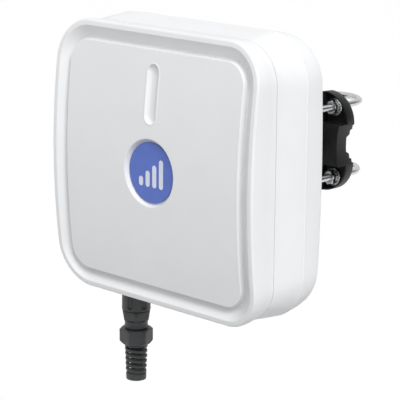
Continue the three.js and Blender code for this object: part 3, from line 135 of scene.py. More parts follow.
def make_area(name, place, aim, size, power):
    data = bpy.data.lights.new(name, "AREA")
    data.shape = "DISK"
    data.size = size
    data.energy = power
    light = link(bpy.data.objects.new(name, data))
    light.location = place
    light.rotation_euler = (Vector(aim) - Vector(place)).to_track_quat("-Z", "Y").to_euler()


def make_sun(name, towards, strength, softness):
    """A soft, even light from far away; softness is the angle that it spans, in degrees."""
    data = bpy.data.lights.new(name, "SUN")
    data.energy = strength
    data.angle = math.radians(softness)
    light = link(bpy.data.objects.new(name, data))
    light.visible_glossy = False
    light.rotation_euler = Vector(towards).to_track_quat("Z", "Y").to_euler()


WORLD_STRENGTH = 0.57


def shade_reflections(tree, background):
    """Reflections see a room that darkens to the right; everything else sees it evenly bright."""
    coords = tree.nodes.new("ShaderNodeTexCoord")
    axes = tree.nodes.new("ShaderNodeSeparateXYZ")
    spread = tree.nodes.new("ShaderNodeMapRange")
    for socket, value in (("From Min", -0.1), ("From Max", 0.75), ("To Min", 1.5), ("To Max", 0.2)):
        spread.inputs[socket].default_value = value
    rays = tree.nodes.new("ShaderNodeLightPath")
    mix = tree.nodes.new("ShaderNodeMix")
    mix.inputs["A"].default_value = 1
    strength = tree.nodes.new("ShaderNodeMath")
    strength.operation = "MULTIPLY"
    strength.inputs[1].default_value = WORLD_STRENGTH
    tree.links.new(coords.outputs["Generated"], axes.inputs["Vector"])
    tree.links.new(axes.outputs["X"], spread.inputs["Value"])
    tree.links.new(rays.outputs["Is Glossy Ray"], mix.inputs["Factor"])
    tree.links.new(spread.outputs["Result"], mix.inputs["B"])
    tree.links.new(mix.outputs["Result"], strength.inputs[0])
    tree.links.new(strength.outputs["Value"], background.inputs["Strength"])


def make_studio():
    scene = bpy.context.scene
    scene.view_settings.view_transform = "Standard"
    scene.view_settings.look = "None"
    world = bpy.data.worlds.new("studio")
    world.use_nodes = True
    background = world.node_tree.nodes["Background"]
    background.inputs["Color"].default_value = (1, 1, 1, 1)
    shade_reflections(world.node_tree, background)
    scene.world = world
    make_sun("key", (0.66, -0.30, 0.69), 2.2, 24)
    make_area("fill", (0.25, -0.85, 0.75), (0, FACE_Y, 0.02), 0.5, 0.9)


def make_floor():
    """A pale floor well below. It doesn't bounce light up, so that the object is lit evenly."""
    reach, drop = 6.0, 0.36
    corners = ((-1, -1), (1, -1), (1, 1), (-1, 1))
    verts = [(x * reach, y * reach, cad_low.z - drop) for x, y in corners]
    floor = mesh_object("floor", verts, [(0, 1, 2, 3)])
    floor.data.materials.append(FLOOR)
    floor.visible_diffuse = False


# ---------------------------------------------------------------- materials

def new_material(name, color, roughness, metallic=0.0):
    material = bpy.data.materials.new(name)
    material.use_nodes = True
    shader = material.node_tree.nodes["Principled BSDF"]
    shader.inputs["Base Color"].default_value = (*color, 1)
    shader.inputs["Roughness"].default_value = roughness
    shader.inputs["Metallic"].default_value = metallic
    return material, material.node_tree, shader


def add_noise(tree, scale, detail=3.0, stretch=None):
    """Noise in the frame's own coordinates; scale is in features for each metre."""
    coords = tree.nodes.new("ShaderNodeTexCoord")
    noise = tree.nodes.new("ShaderNodeTexNoise")
    noise.inputs["Scale"].default_value = scale
    noise.inputs["Detail"].default_value = detail
    source = coords.outputs["Object"]
    if stretch:
        mapping = tree.nodes.new("ShaderNodeMapping")
        mapping.inputs["Scale"].default_value = stretch
        tree.links.new(source, mapping.inputs["Vector"])
        source = mapping.outputs["Vector"]
    tree.links.new(source, noise.inputs["Vector"])
    return noise.outputs["Fac"]


def vary_color(tree, shader, source, dark, light):
    ramp = tree.nodes.new("ShaderNodeValToRGB")
    ramp.color_ramp.elements[0].position = 0.3
    ramp.color_ramp.elements[1].position = 0.7
    ramp.color_ramp.elements[0].color = (*dark, 1)
    ramp.color_ramp.elements[1].color = (*light, 1)
    tree.links.new(source, ramp.inputs["Fac"])
    tree.links.new(ramp.outputs["Color"], shader.inputs["Base Color"])


def vary_roughness(tree, shader, source, low, high):
    spread = tree.nodes.new("ShaderNodeMapRange")
    spread.inputs["From Min"].default_value = 0.3
    spread.inputs["From Max"].default_value = 0.7
    spread.inputs["To Min"].default_value = low
    spread.inputs["To Max"].default_value = high
    tree.links.new(source, spread.inputs["Value"])
    tree.links.new(spread.outputs["Result"], shader.inputs["Roughness"])


def add_bump(tree, shader, source, distance):
    bump = tree.nodes.new("ShaderNodeBump")
    bump.inputs["Distance"].default_value = distance
    bump.inputs["Strength"].default_value = 1
    tree.links.new(source, bump.inputs["Height"])
    tree.links.new(bump.outputs["Normal"], shader.inputs["Normal"])


def finish_of(name, color, roughness, metallic=0.0, spread=0.06, mottle=60, grain=2500,
              depth=0.02 * MM, stretch=None, rough_spread=0.12):
    """A surface with mottled colour, uneven gloss and a fine grain."""
    material, tree, shader = new_material(name, color, roughness, metallic)
    dark = [c * (1 - spread) for c in color]
    light = [min(1.0, c * (1 + spread)) for c in color]
    vary_color(tree, shader, add_noise(tree, mottle), dark, light)
    fine = add_noise(tree, grain, 2.0, stretch)
    low, high = roughness * (1 - rough_spread), roughness * (1 + rough_spread)
    vary_roughness(tree, shader, fine, low, high)
    add_bump(tree, shader, fine, depth)
    return material


WHITE_PLASTIC = (0.81, 0.82, 0.83)
WHITE = finish_of("white_cover", WHITE_PLASTIC, 0.42, spread=0.012, mottle=25, depth=0.012 * MM)
WHITE_REAR = finish_of("white_housing", WHITE_PLASTIC, 0.46, spread=0.014, mottle=25,
                       depth=0.018 * MM)
BLUE = finish_of("badge_blue", (0.085, 0.155, 0.54), 0.34, spread=0.05, mottle=90,
                 depth=0.006 * MM)
INK = finish_of("badge_ink", (0.72, 0.75, 0.86), 0.4, spread=0.03, mottle=200, depth=0.004 * MM)
BLACK = finish_of("bracket_black", (0.007, 0.007, 0.0075), 0.46, spread=0.25, mottle=80,
                  grain=1600, depth=0.05 * MM)
NYLON = finish_of("gland_nylon", (0.030, 0.031, 0.033), 0.45, spread=0.18, mottle=140, grain=1800,
                  depth=0.03 * MM)
RUBBER = finish_of("seal_rubber", (0.02, 0.02, 0.02), 0.8, spread=0.2, mottle=200,
                   depth=0.03 * MM)
STEEL = finish_of("stainless", (0.62, 0.63, 0.64), 0.24, 1.0, spread=0.08, mottle=150, grain=900,
                  depth=0.008 * MM, stretch=(1, 0.12, 1), rough_spread=0.4)
ALUMINIUM = finish_of("sheet_aluminium", (0.70, 0.71, 0.73), 0.38, 1.0, grain=700,
                      stretch=(0.05, 1, 1))
BRASS = finish_of("plated_brass", (0.72, 0.52, 0.22), 0.3, 1.0, mottle=120)
LAMINATE = finish_of("circuit_board", (0.02, 0.16, 0.07), 0.4, spread=0.2, mottle=300)
TIN = finish_of("tinned_steel", (0.60, 0.62, 0.64), 0.3, 1.0, mottle=90)
NATURAL = finish_of("natural_nylon", (0.74, 0.72, 0.65), 0.5, mottle=120)
FLOOR = finish_of("studio_floor", (0.97, 0.97, 0.97), 0.9, spread=0.004, mottle=3, grain=200)


# ---------------------------------------------------------------- mesh building

def mesh_object(name, verts, faces):
    mesh = bpy.data.meshes.new(name)
    mesh.from_pydata([tuple(v) for v in verts], [], faces)
    return link(bpy.data.objects.new(name, mesh))


def tidy_mesh(obj, weld=1e-6):
    """Welds doubled points and turns every face outwards."""
    work = bmesh.new()
    work.from_mesh(obj.data)
    bmesh.ops.remove_doubles(work, verts=work.verts, dist=weld)
    bmesh.ops.recalc_face_normals(work, faces=work.faces)
    work.to_mesh(obj.data)
    work.free()


def smooth(obj, angle=35):
    obj.data.polygons.foreach_set("use_smooth", [True] * len(obj.data.polygons))
    obj.data.set_sharp_from_angle(angle=math.radians(angle))


def apply_modifiers(obj):
    graph = bpy.context.evaluated_depsgraph_get()
    mesh = bpy.data.meshes.new_from_object(obj.evaluated_get(graph))
    obj.modifiers.clear()
    obj.data = mesh


def carve(target, tools, operation="DIFFERENCE"):
    for tool in tools:
        cutter = target.modifiers.new("cut", "BOOLEAN")
        cutter.object = tool
        cutter.operation = operation
        cutter.solver = "EXACT"
    apply_modifiers(target)
    for tool in tools:
        bpy.data.objects.remove(tool)
    return target


def round_edges(obj, width, segments=2, angle=40):
    bevel = obj.modifiers.new("edges", "BEVEL")
    bevel.width = width
    bevel.segments = segments
    bevel.limit_method = "ANGLE"
    bevel.angle_limit = math.radians(angle)
    bevel.harden_normals = False


def place_piece(obj, body, material, nodes, angle=35, weld=1e-6):
    tidy_mesh(obj, weld)
    smooth(obj, angle)
    obj.data.materials.clear()
    obj.data.materials.append(material)
    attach(obj, body)
    if nodes:
        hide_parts(*nodes)


def bridge(first, second, count):
    """Quads between two rings of points that start at these indices."""
    pairs = [(i, (i + 1) % count) for i in range(count)]
    return [(first + i, first + k, second + k, second + i) for i, k in pairs]


def skin(rings):
    """The points of a run of rings, and the quads between each ring and the next."""
    count = len(rings[0])
    faces = []
    for k in range(len(rings) - 1):
        faces += bridge(k * count, (k + 1) * count, count)
    return [point for ring in rings for point in ring], faces


def close_ends(verts, faces, count):
    """Adds a flat face across the first and the last ring of a run."""
    faces += [tuple(range(count)), tuple(range(len(verts) - count, len(verts)))]


def along(axis, across, up, height):
    """A point from two coordinates across an axis and one along it."""
    return {"x": (height, across, up), "y": (across, height, up), "z": (across, up, height)}[axis]


def spun(name, rows, axis, centre, sides=96, start=0.0, hollow=True):
    """A turned piece. Each row is (radius, place on the axis), and a radius may depend on the
    angle. A hollow piece's rows go round its whole section; a solid one's run from end to end."""
    rings = []
    for radius, height in rows:
        ring = []
        for i in range(sides):
            angle = start + TAU * i / sides
            r = radius(angle) if callable(radius) else radius
            across, up = centre[0] + r * math.cos(angle), centre[1] + r * math.sin(angle)
            ring.append(along(axis, across, up, height))
        rings.append(ring)
    verts, faces = skin(rings)
    if hollow:
        faces += bridge((len(rows) - 1) * sides, 0, sides)
    else:
        close_ends(verts, faces, sides)
    return mesh_object(name, verts, faces)


def span(node, axis):
    """A node's two ends on an axis, and its centre in the two other coordinates."""
    low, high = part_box(node)
    spot = (low + high) / 2
    if axis == "x":
        return low.x, high.x, (spot.y, spot.z)
    if axis == "y":
        return low.y, high.y, (spot.x, spot.z)
    return low.z, high.z, (spot.x, spot.y)


def hexagon(flats, turn, corner=None):
    """Radius of a hexagon at an angle, its corners cut back to a circle if one is given."""
    def radius(angle):
        off = (angle - turn) % SIXTH - SIXTH / 2
        r = flats / 2 / math.cos(off)
        return min(r, corner) if corner else r
    return radius


def prism(name, outline, axis, low, high):
    """An outline stood up along an axis. Its points are in the two other coordinates."""
    verts, faces = skin([[along(axis, a, b, place) for a, b in outline] for place in (low, high)])
    close_ends(verts, faces, len(outline))
    obj = mesh_object(name, verts, faces)
    tidy_mesh(obj)
    return obj


def arc(centre, radius, start, end, steps):
    angles = [start + (end - start) * i / steps for i in range(steps + 1)]
    return [(centre[0] + radius * math.cos(a), centre[1] + radius * math.sin(a)) for a in angles]


# ---------------------------------------------------------------- enclosure shells

CORNER_STEPS, SIDE_STEPS, TOP_STEPS, EASE_STEPS = 18, 28, 10, 4


def bow_at(z):
    return BOW * (1 - (z / BOW_HALF) ** 2)


def panel_y(z):
    return FACE_Y - bow_at(z)


def outline(inset, corner):
    """The enclosure's outline set in from the widest one, as (x, z) points."""
    half = HALF - inset
    radius = max(corner - inset, LEAST_CORNER)
    flat = half - radius
    points = []
    for k, steps in enumerate((TOP_STEPS, SIDE_STEPS, TOP_STEPS, SIDE_STEPS)):
        sx, sz = ((1, 1), (-1, 1), (-1, -1), (1, -1))[k]
        points += arc((sx * flat, sz * flat), radius, k * TAU / 4, (k + 1) * TAU / 4, CORNER_STEPS)
        start = Vector(points[-1])
        nx, nz = ((-1, 1), (-1, -1), (1, -1), (1, 1))[k]
        end = Vector((nx * (flat if k % 2 == 0 else half), nz * (half if k % 2 == 0 else flat)))
        points += [tuple(start.lerp(end, i / steps)) for i in range(1, steps)]
    return points


def ring_at(level):
    inset, depth, share, corner = level
    return [(x, FACE_Y + depth - share * bow_at(z), z) for x, z in outline(inset, corner)]


def eased(levels):
    """A smooth run through levels, each (inset, depth, share of the bow, corner)."""
    levels = [Vector(level) for level in levels]
    last = len(levels) - 1
    run = []
    for i in range(last):
        before, a, b, after = (levels[k] for k in (max(i - 1, 0), i, i + 1, min(i + 2, last)))
        length = (b - a).length
        out = (b - before) * (length / (b - before).length)
        into = (after - a) * (length / (after - a).length)
        for k in range(EASE_STEPS):
            t = k / EASE_STEPS
            run.append(a * (2 * t ** 3 - 3 * t ** 2 + 1) + out * (t ** 3 - 2 * t ** 2 + t)
                       + b * (3 * t ** 2 - 2 * t ** 3) + into * (t ** 3 - t ** 2))
    return run + [levels[-1]]


def crisp(levels, reach=0.35 * MM):
    """The same levels with each corner between them rounded over a short reach."""
    levels = [Vector(level) for level in levels]
    run = [levels[0]]
    for before, here, after in zip(levels, levels[1:], levels[2:]):
        back, on = before - here, after - here
        back_length, on_length = back.to_2d().length, on.to_2d().length
        short = min(reach, 0.3 * back_length, 0.3 * on_length)
        start, end = back * (short / back_length), on * (short / on_length)
        run.append(here + start * 1.6)
        run += [here + start * (1 - t) ** 2 + end * t ** 2 for t in (0, 0.33, 0.67, 1)]
        run.append(here + end * 1.6)
    return run + [levels[-1]]


def in_mm(levels):
    """Levels written in millimetres, with their share of the bow left as it is."""
    return [(inset * MM, depth * MM, share, corner * MM) for inset, depth, share, corner in levels]


def add_sheet(verts, faces, places, triangles, at):
    """Adds triangles across a shell; each point comes from its place, as (x, z)."""
    first = len(verts)
    verts += [at(place.x, place.y) for place in places]
    faces += [tuple(first + i for i in triangle) for triangle in triangles]


# The front panel's dish and slot.
BADGE_LOW, BADGE_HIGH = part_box("badge_disc")
BADGE_RADIUS = BADGE_HIGH.x
BADGE_Z = (BADGE_LOW.z + BADGE_HIGH.z) / 2
BADGE_ROOM = 0.9 * MM
DISH_RADIUS = BADGE_RADIUS + BADGE_ROOM
DISH_DEPTH = 4.7 * MM
DISH_SLOPE = 0.45
DISH_RIM = DISH_RADIUS + DISH_SLOPE * DISH_DEPTH
DISH_ROUND = 0.4 * MM
SLOT_RADIUS = 6.8 * MM
SLOT_DEPTH = 3.4 * MM
SLOT_LENGTH = 51.6 * MM
SLOT_FROM_TOP = 58 * MM                    # the slot's middle, below the top of the enclosure
SLOT_REACH = SLOT_LENGTH / 2 - SLOT_RADIUS
SLOT_LOW = HALF - SLOT_FROM_TOP - SLOT_REACH
SLOT_HIGH = HALF - SLOT_FROM_TOP + SLOT_REACH
SLOT_LIP = 1 * MM                          # a thin raised lip round the slot
SLOT_LIP_RISE = 0.22 * MM


def to_slot(x, z):
    """Distance from the slot's centre line."""
    return math.hypot(x, z - min(max(z, SLOT_LOW), SLOT_HIGH))


def panel_surface(x, z):
    """Y of the front panel, with its dish and slot."""
    surface = panel_y(z)
    r = math.hypot(x, z - BADGE_Z)
    if r < DISH_RIM + DISH_ROUND:
        floor = panel_y(0) + DISH_DEPTH
        share = min(max((r - DISH_RADIUS) / (DISH_RIM - DISH_RADIUS), 0), 1)
        rounding = max(0, 1 - abs(r - DISH_RIM) / DISH_ROUND) * DISH_ROUND * 0.35
        return floor + (surface - floor) * share + rounding
    s = to_slot(x, z)
    if s < SLOT_RADIUS:
        return surface + SLOT_DEPTH * (1 - (s / SLOT_RADIUS) ** 5) ** 0.8
    lip = max(0, 1 - abs(s - SLOT_RADIUS - SLOT_LIP / 2) / (SLOT_LIP / 2))
    return surface - SLOT_LIP_RISE * lip


def panel_points():
    """(x, z) points in the panel: rings round the dish and the slot, and a grid for the bow."""
    badge = (0.0, BADGE_Z)
    points = [badge]
    for share in (0.25, 0.5, 0.75, 0.93):
        points += arc(badge, DISH_RADIUS * share, 0, TAU, round(72 * max(share, 0.4)))[:-1]
    near = 0.3 * MM                            # rings this near an edge keep it sharp
    wall = [DISH_RADIUS - near, DISH_RADIUS, DISH_RADIUS + near, DISH_RIM - 3 * near]
    for r in wall + [DISH_RIM + DISH_ROUND * k for k in (-1, -0.5, 0, 0.5, 1, 3, 7)]:
        points += arc(badge, r, 0, TAU, 144)[:-1]
    steps = 20
    inside = [SLOT_RADIUS * share for share in (0, 0.35, 0.6, 0.74, 0.84, 0.9, 0.94, 0.97, 0.99, 1)]
    for r in inside + [SLOT_RADIUS + SLOT_LIP * share for share in (0.25, 0.5, 0.75, 1, 2.5)]:
        straight = [SLOT_LOW + (SLOT_HIGH - SLOT_LOW) * k / 14 for k in range(15)]
        if r == 0:
            points += [(0.0, z) for z in straight]
            continue
        points += [(side * r, z) for side in (-1, 1) for z in straight]
        points += arc((0, SLOT_HIGH), r, 0, TAU / 2, steps)[1:-1]
        points += arc((0, SLOT_LOW), r, TAU / 2, TAU, steps)[1:-1]
    margin = 3 * MM                            # between the grid and the panel's edge
    reach = HALF - PANEL_INSET - margin
    cells = 26
    corner = FRONT_CORNER - PANEL_INSET - margin
    for i in range(cells + 1):
        for k in range(cells + 1):
            x, z = (reach * (2 * i / cells - 1), reach * (2 * k / cells - 1))
            past = math.hypot(max(abs(x) - reach + corner, 0), max(abs(z) - reach + corner, 0))
            clear = (math.hypot(x, z - BADGE_Z) > DISH_RIM + 6 * MM
                     and to_slot(x, z) > SLOT_RADIUS + 4 * MM)
            if clear and past <= corner:
                points.append((x, z))
    return points


def fill(edge, inner):
    """Triangles across a ring of (x, z) points and the points inside it, as (places, triangles)."""
    count = len(edge)
    flat = [Vector(point) for point in list(edge) + inner]
    edges = [(i, (i + 1) % count) for i in range(count)]
    placed, _, triangles, *_ = delaunay_2d_cdt(flat, edges, [tuple(range(count))], 1, 1e-7)
    return placed, triangles


def build_cover():
    """A closed shell: up the outside from the seam to the panel, and the same inside."""
    c = FRONT_CORNER / MM
    side = eased(in_mm([
        (3.9, 19.75, 0, c), (3.7, 15.15, 0.15, c), (2.8, 9.4, 0.6, c), (2.3, 3.6, 1, c),
    ]))
    rim_and_groove = crisp(in_mm([
        (2.3, 3.5, 1, c), (2.3, 0.4, 1, c), (2.8, -1.0, 1, c), (3.8, -1.6, 1, c),
        (7.5, -1.6, 1, c), (8.1, -1.2, 1, c), (17.0, 5.7, 1, c), (18.2, 6.6, 1, c),
        (19.2, 6.6, 1, c), (19.7, 6.1, 1, c), (20.0, 0.35, 1, c), (20.4, 0, 1, c),
    ]))
    panel_half = HALF - PANEL_INSET
    shrink = (panel_half - WALL) / panel_half
    inner_corner = (PANEL_INSET + WALL + (FRONT_CORNER - PANEL_INSET) * shrink) / MM
    inside = in_mm([
        (23.4, 3.4, 1, inner_corner), (23.0, 9.6, 1, c), (17.0, 10.0, 1, c), (7.5, 3.2, 1, c),
        (6.5, 8.4, 0.8, c), (7.3, 13.35, 0.3, c), (10.9, 15.55, 0.1, c), (10.9, 19.75, 0, c),
    ])
    rings = [ring_at(level) for level in inside + side + rim_and_groove]
    verts, faces = skin(rings)
    places, triangles = fill([(x, z) for x, _, z in rings[-1]], panel_points())

    def inner_surface(x, z):
        deeper = panel_surface(x, z) - panel_y(z) + PANEL_WALL
        return x * shrink, panel_y(z * shrink) + deeper, z * shrink

    add_sheet(verts, faces, places, triangles, lambda x, z: (x, panel_surface(x, z), z))
    add_sheet(verts, faces, places, triangles, inner_surface)
    cover = mesh_object("cover_shell", verts, faces)
    place_piece(cover, "enclosure", WHITE, ["front_cover"], 32, 2e-5)


def back_y(z, depth=BACK_EDGE_DEPTH):
    """Y of the bowed back, or of another surface with the same bow."""
    return FACE_Y + depth - BACK_SHARE * bow_at(z)


def housing_shell():
    """Up the inside of the rear housing from its back wall, round the seam, and back outside."""
    share, c = BACK_SHARE, REAR_CORNER / MM
    inner = in_mm([
        (12, 75, share, c), (6.8, 71.5, share, c), (4.9, 65.25, share / 2, c), (3, 54.5, 0, c),
        (4.7, 38.4, 0, 42.3), (6.3, 27.05, 0, 40), (10.9, 24.45, 0, 40), (10.9, 20.25, 0, 40),
    ])
    swell = eased(in_mm([
        (3.9, 20.25, 0, 40), (3.4, 26, 0, 40.8), (1.7, 38.4, 0, 42.3), (0.7, 47.5, 0, c),
        (0.35, 53.3, 0, c),
    ]))
    bead = crisp(in_mm([
        (0.34, 53.4, 0, c), (0.3, 53.9, 0, c), (0.01, 54.2, 0, c), (0.01, 54.8, 0, c),
        (0.3, 55.1, 0, c), (0.4, 55.7, 0, c),
    ]), 0.15 * MM)
    drawn = eased(in_mm([
        (0.45, 56, 0, c), (1.9, 66.25, share / 2, c), (3.3, 72.2, share, c), (3.9, 74.4, share, c),
        (4.7, 76.1, share, c), (6.1, 77.4, share, c), (8.4, 78, share, c),
    ]))
    rings = [ring_at(level) for level in inner + swell + bead + drawn]
    verts, faces = skin(rings)
    reach = 100 * MM
    grid = [(reach * i / 6, reach * k / 12) for i in range(-6, 7) for k in range(-12, 13)]
    for ring, depth in ((rings[0], BACK_EDGE_DEPTH - WALL), (rings[-1], BACK_EDGE_DEPTH)):
        places, triangles = fill([(x, z) for x, _, z in ring], grid)
        add_sheet(verts, faces, places, triangles, lambda x, z: (x, back_y(z, depth), z))
    housing = mesh_object("housing_shell", verts, faces)
    tidy_mesh(housing)
    return housing


def build_housing():
    """The rear housing with its flats for the port and the vent, its screw wells and its seat."""
    housing = housing_shell()
    tools = []
    ports = ((PORT, PORT_FLANGE, PORT_THREAD), (VENT, VENT_FLANGE, VENT_THREAD))
    for spot, flange, thread in ports:
        at = (spot.x, spot.y)
        flat, draft, hole = flange / 2 + 1 * MM, 0.6 * MM, thread / 2 + GAP
        flat_rows = [(flat, FLOOR_Z), (flat + draft, -HALF - 5 * MM)]
        hole_rows = [(hole, FLOOR_Z - WALL), (hole, FLOOR_Z + 3 * WALL)]
        tools.append(spun("flat", flat_rows, "z", at, 64, hollow=False))
        tools.append(spun("hole", hole_rows, "z", at, 48, hollow=False))
    well, mouth, outer, hole = 4.4 * MM, 5.1 * MM, 7 * MM, 2.3 * MM
    head, floor = 3 * MM, 7 * MM               # below the top of a screw's head
    for n in range(1, 5):
        _, top, at = span(f"cover_screw_{n}", "y")
        back = back_y(at[1])
        well_rows = [(well, back - WALL - 1 * MM), (well, back - 0.6 * MM),
                     (mouth, back + 0.1 * MM), (mouth, back + 3 * MM)]
        tools.append(spun("well", well_rows, "y", at, 40, hollow=False))
        sleeve = [(outer, back - WALL), (outer, top - floor), (hole, top - floor),
                  (hole, top - head), (well, top - head), (well, back - WALL)]
        tube = spun(f"housing_sleeve_{n}", sleeve, "y", at, 40)
        place_piece(tube, "enclosure", WHITE_REAR, [])
    for tool in tools:
        tidy_mesh(tool)
    carve(housing, tools)
    place_piece(housing, "enclosure", WHITE_REAR, ["rear_housing"], 32)
    square = [(x * SEAT_HALF, z * SEAT_HALF) for x, z in ((1, -1), (1, 1), (-1, 1), (-1, -1))]
    seat = prism("housing_seat", square, "y", BACK_Y - WALL, BACK_Y)
    round_edges(seat, 0.4 * MM)
    apply_modifiers(seat)
    place_piece(seat, "enclosure", WHITE_REAR, [])


# ---------------------------------------------------------------- badge

def build_badge():
    """A blue disc with a dished edge, and a plain mark of four rising bars."""
    front, rear, r = BADGE_LOW.y, BADGE_HIGH.y, BADGE_RADIUS
    rows = [(r - 0.1 * MM, rear), (r, rear - 0.15 * MM), (r, front + 0.45 * MM),
            (r - 0.14 * MM, front + 0.16 * MM), (r - 0.5 * MM, front), (r - 1.5 * MM, front)]
    disc = spun("badge_face", rows, "y", (0, BADGE_Z), 144, hollow=False)
    place_piece(disc, "enclosure", BLUE, ["badge_disc"])
    bars, width, pitch, base = 4, 5.0 * MM, 8.2 * MM, BADGE_Z - 13 * MM
    for i in range(bars):
        x = (i - (bars - 1) / 2) * pitch
        top = base + (8.5 + 5.8 * i) * MM
        shape = arc((x, top - width / 2), width / 2, 0, TAU / 2, 14)
        shape += arc((x, base + width / 2), width / 2, TAU / 2, TAU, 14)
        bar = prism(f"badge_bar_{i + 1}", shape, "y", front - 0.12 * MM, front + 0.4 * MM)
        place_piece(bar, "enclosure", INK, [])


# ---------------------------------------------------------------- cable gland

def gland_piece(name, rows, nodes, body="enclosure", material=NYLON,
                start=0.0, sides=96, angle=30):
    obj = spun(name, rows, "z", (PORT.x, PORT.y), sides, start)
    place_piece(obj, body, material, nodes, angle)


def spread_of(node):
    """Lowest and highest Z of a node, and half its width."""
    low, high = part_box(node)
    return low.z, high.z, (high.x - low.x) / 2


def build_receptacle():
    low, high, flange = spread_of("port_receptacle")
    flange_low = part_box("coupling_ring")[1].z + GAP
    flange_high = flange_low + 3 * MM
    thread, bore, seal_bore = PORT_THREAD / 2, GLAND_BORE, PORT_THREAD / 2 + GAP
    bevel = 0.6 * MM
    rows = [(bore, low), (thread - bevel, low), (thread, low + bevel), (thread, flange_low),
            (flange - bevel, flange_low), (flange, flange_low + bevel),
            (flange, flange_high - bevel), (flange - bevel, flange_high), (thread, flange_high),
            (thread, high - bevel), (thread - bevel, high), (bore, high)]
    gland_piece("port_nipple", rows, ["port_receptacle"])
    low, high, radius = spread_of("port_seal")
    bulge = 0.25 * MM
    rows = [(seal_bore, low), (radius - bulge, low), (radius, (low + high) / 2),
            (radius - bulge, high), (seal_bore, high)]
    gland_piece("port_washer", rows, ["port_seal"], material=RUBBER)


def build_coupling_ring():
    """A ring with six flutes that end in rounded scoops above its lower edge."""
    low, high, radius = spread_of("coupling_ring")
    each, turn, bevel = SIXTH, math.radians(-10), 0.8 * MM
    scoop = radius * math.sin(each / 2) * 0.45
    centre = radius + scoop * 0.45
    flute_end = low + 4.5 * MM

    def fluted(z):
        if z >= flute_end:
            size = scoop
        else:
            size = scoop * math.sqrt(max(0.0, 1 - ((flute_end - z) / (scoop * 0.85)) ** 2))

        def at(angle):
            off = (angle - turn + each / 2) % each - each / 2
            across = centre * math.sin(off)
            if abs(across) >= size:
                return radius
            return min(radius, centre * math.cos(off) - math.sqrt(size ** 2 - across ** 2))
        return at

    bore, collar, lip = 10.6 * MM, 8.8 * MM, low + 3 * MM
    heights = [low + bevel + (flute_end - low - bevel) * k / 12 for k in range(13)]
    heights += [flute_end + (high - 0.5 * MM - flute_end) * k / 4 for k in range(1, 5)]
    rows = [(collar, low), (radius - bevel, low), (radius - 0.25 * bevel, low + 0.3 * bevel)]
    rows += [(fluted(z), z) for z in heights]
    edge = fluted(high)
    rows += [(lambda angle: edge(angle) - 0.4 * MM, high), (bore, high), (bore, lip), (collar, lip)]
    gland_piece("gland_coupling_ring", rows, ["coupling_ring"], "coupling_ring",
                sides=288, angle=38)


def build_plug():
    """A flange inside the ring, then six facets that widen downwards, a neck and a shank."""
    low, high, _ = spread_of("plug_body")
    hex_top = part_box("coupling_ring")[0].z - GAP
    hex_low = hex_top - 9.6 * MM
    turn = math.radians(17)
    limit, top, bottom = 13.2 * MM, 12.9 * MM, 10.95 * MM

    def cone(share, inset=0.0):
        facets = hexagon(2 * (bottom + (top - bottom) * share), turn)
        return lambda angle: min(limit, facets(angle)) - inset

    thread, collar, shank, seat = 10.2 * MM, 8.5 * MM, 9.2 * MM, 7.4 * MM
    flange_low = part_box("coupling_ring")[0].z + 3.3 * MM
    neck_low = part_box("clamp_nut")[1].z + GAP
    edge = 0.5 * MM
    rows = [
        (seat, low), (shank - edge, low), (shank, low + edge), (shank, neck_low),
        (COLLAR - edge, neck_low), (COLLAR, neck_low + edge), (COLLAR, hex_low - 0.9 * MM),
        (COLLAR + 0.25 * MM, hex_low - 0.35 * MM), (cone(0, 0.9 * MM), hex_low),
        (cone(0.05, 0.25 * MM), hex_low + 0.35 * MM), (cone(0.12), hex_low + 1.0 * MM),
        (cone(0.5), (hex_low + hex_top) / 2), (cone(0.93), hex_top - 0.7 * MM),
        (cone(1.0, 0.25 * MM), hex_top - 0.2 * MM), (cone(1.0, 0.7 * MM), hex_top),
        (collar, hex_top), (collar, flange_low), (thread, flange_low), (thread, high),
        (GLAND_BORE, high), (GLAND_BORE, hex_low), (seat, hex_low),
    ]
    gland_piece("gland_plug", rows, ["plug_body"], start=turn, sides=192, angle=33)


def build_clamp_nut():
    """The clamp nut with its collar, the tapering spiral below and the ring that ends it."""
    low, high, _ = spread_of("clamp_nut")
    flats, turn = 27 * MM, math.radians(-10)
    half = flats / 2
    corner = half / math.cos(SIXTH / 2) - 0.1 * MM
    nut_low = high - 15 * MM
    inside_low = nut_low + 2 * MM
    shank, ring = 9.5 * MM, 9.5 * MM
    spiral_top = nut_low - 2.2 * MM
    ring_top = low + 6.3 * MM

    def head(cap):
        return hexagon(flats, turn, cap)

    rows = [
        (SPIRAL_BORE, spiral_top), (COLLAR - 0.3 * MM, spiral_top), (COLLAR, spiral_top + 0.3 * MM),
        (COLLAR, nut_low - 0.4 * MM), (COLLAR + 0.4 * MM, nut_low), (head(half * 0.92), nut_low),
        (head(half), nut_low + 0.8 * MM), (head(half * 1.08), nut_low + 1.6 * MM),
        (head(corner), nut_low + 2.4 * MM), (head(corner), high - 1.3 * MM),
        (head(half * 1.06), high - 0.6 * MM), (head(half * 0.98), high),
        (shank, high), (shank, inside_low), (SPIRAL_BORE, inside_low),
    ]
    gland_piece("gland_clamp_nut", rows, ["clamp_nut"], "clamp_nut",
                start=turn, sides=192, angle=28)
    edge = 0.5 * MM
    rows = [(SPIRAL_BORE, low), (ring - 0.9 * MM, low), (ring - 0.3 * MM, low + edge * 0.6),
            (ring - 0.1 * MM, low + 2 * edge), (ring, ring_top - edge), (ring - edge, ring_top),
            (SPIRAL_BORE, ring_top)]
    gland_piece("gland_end_ring", rows, [], "clamp_nut")
    build_spiral(spiral_top, ring_top, COLLAR - 0.1 * MM, ring)


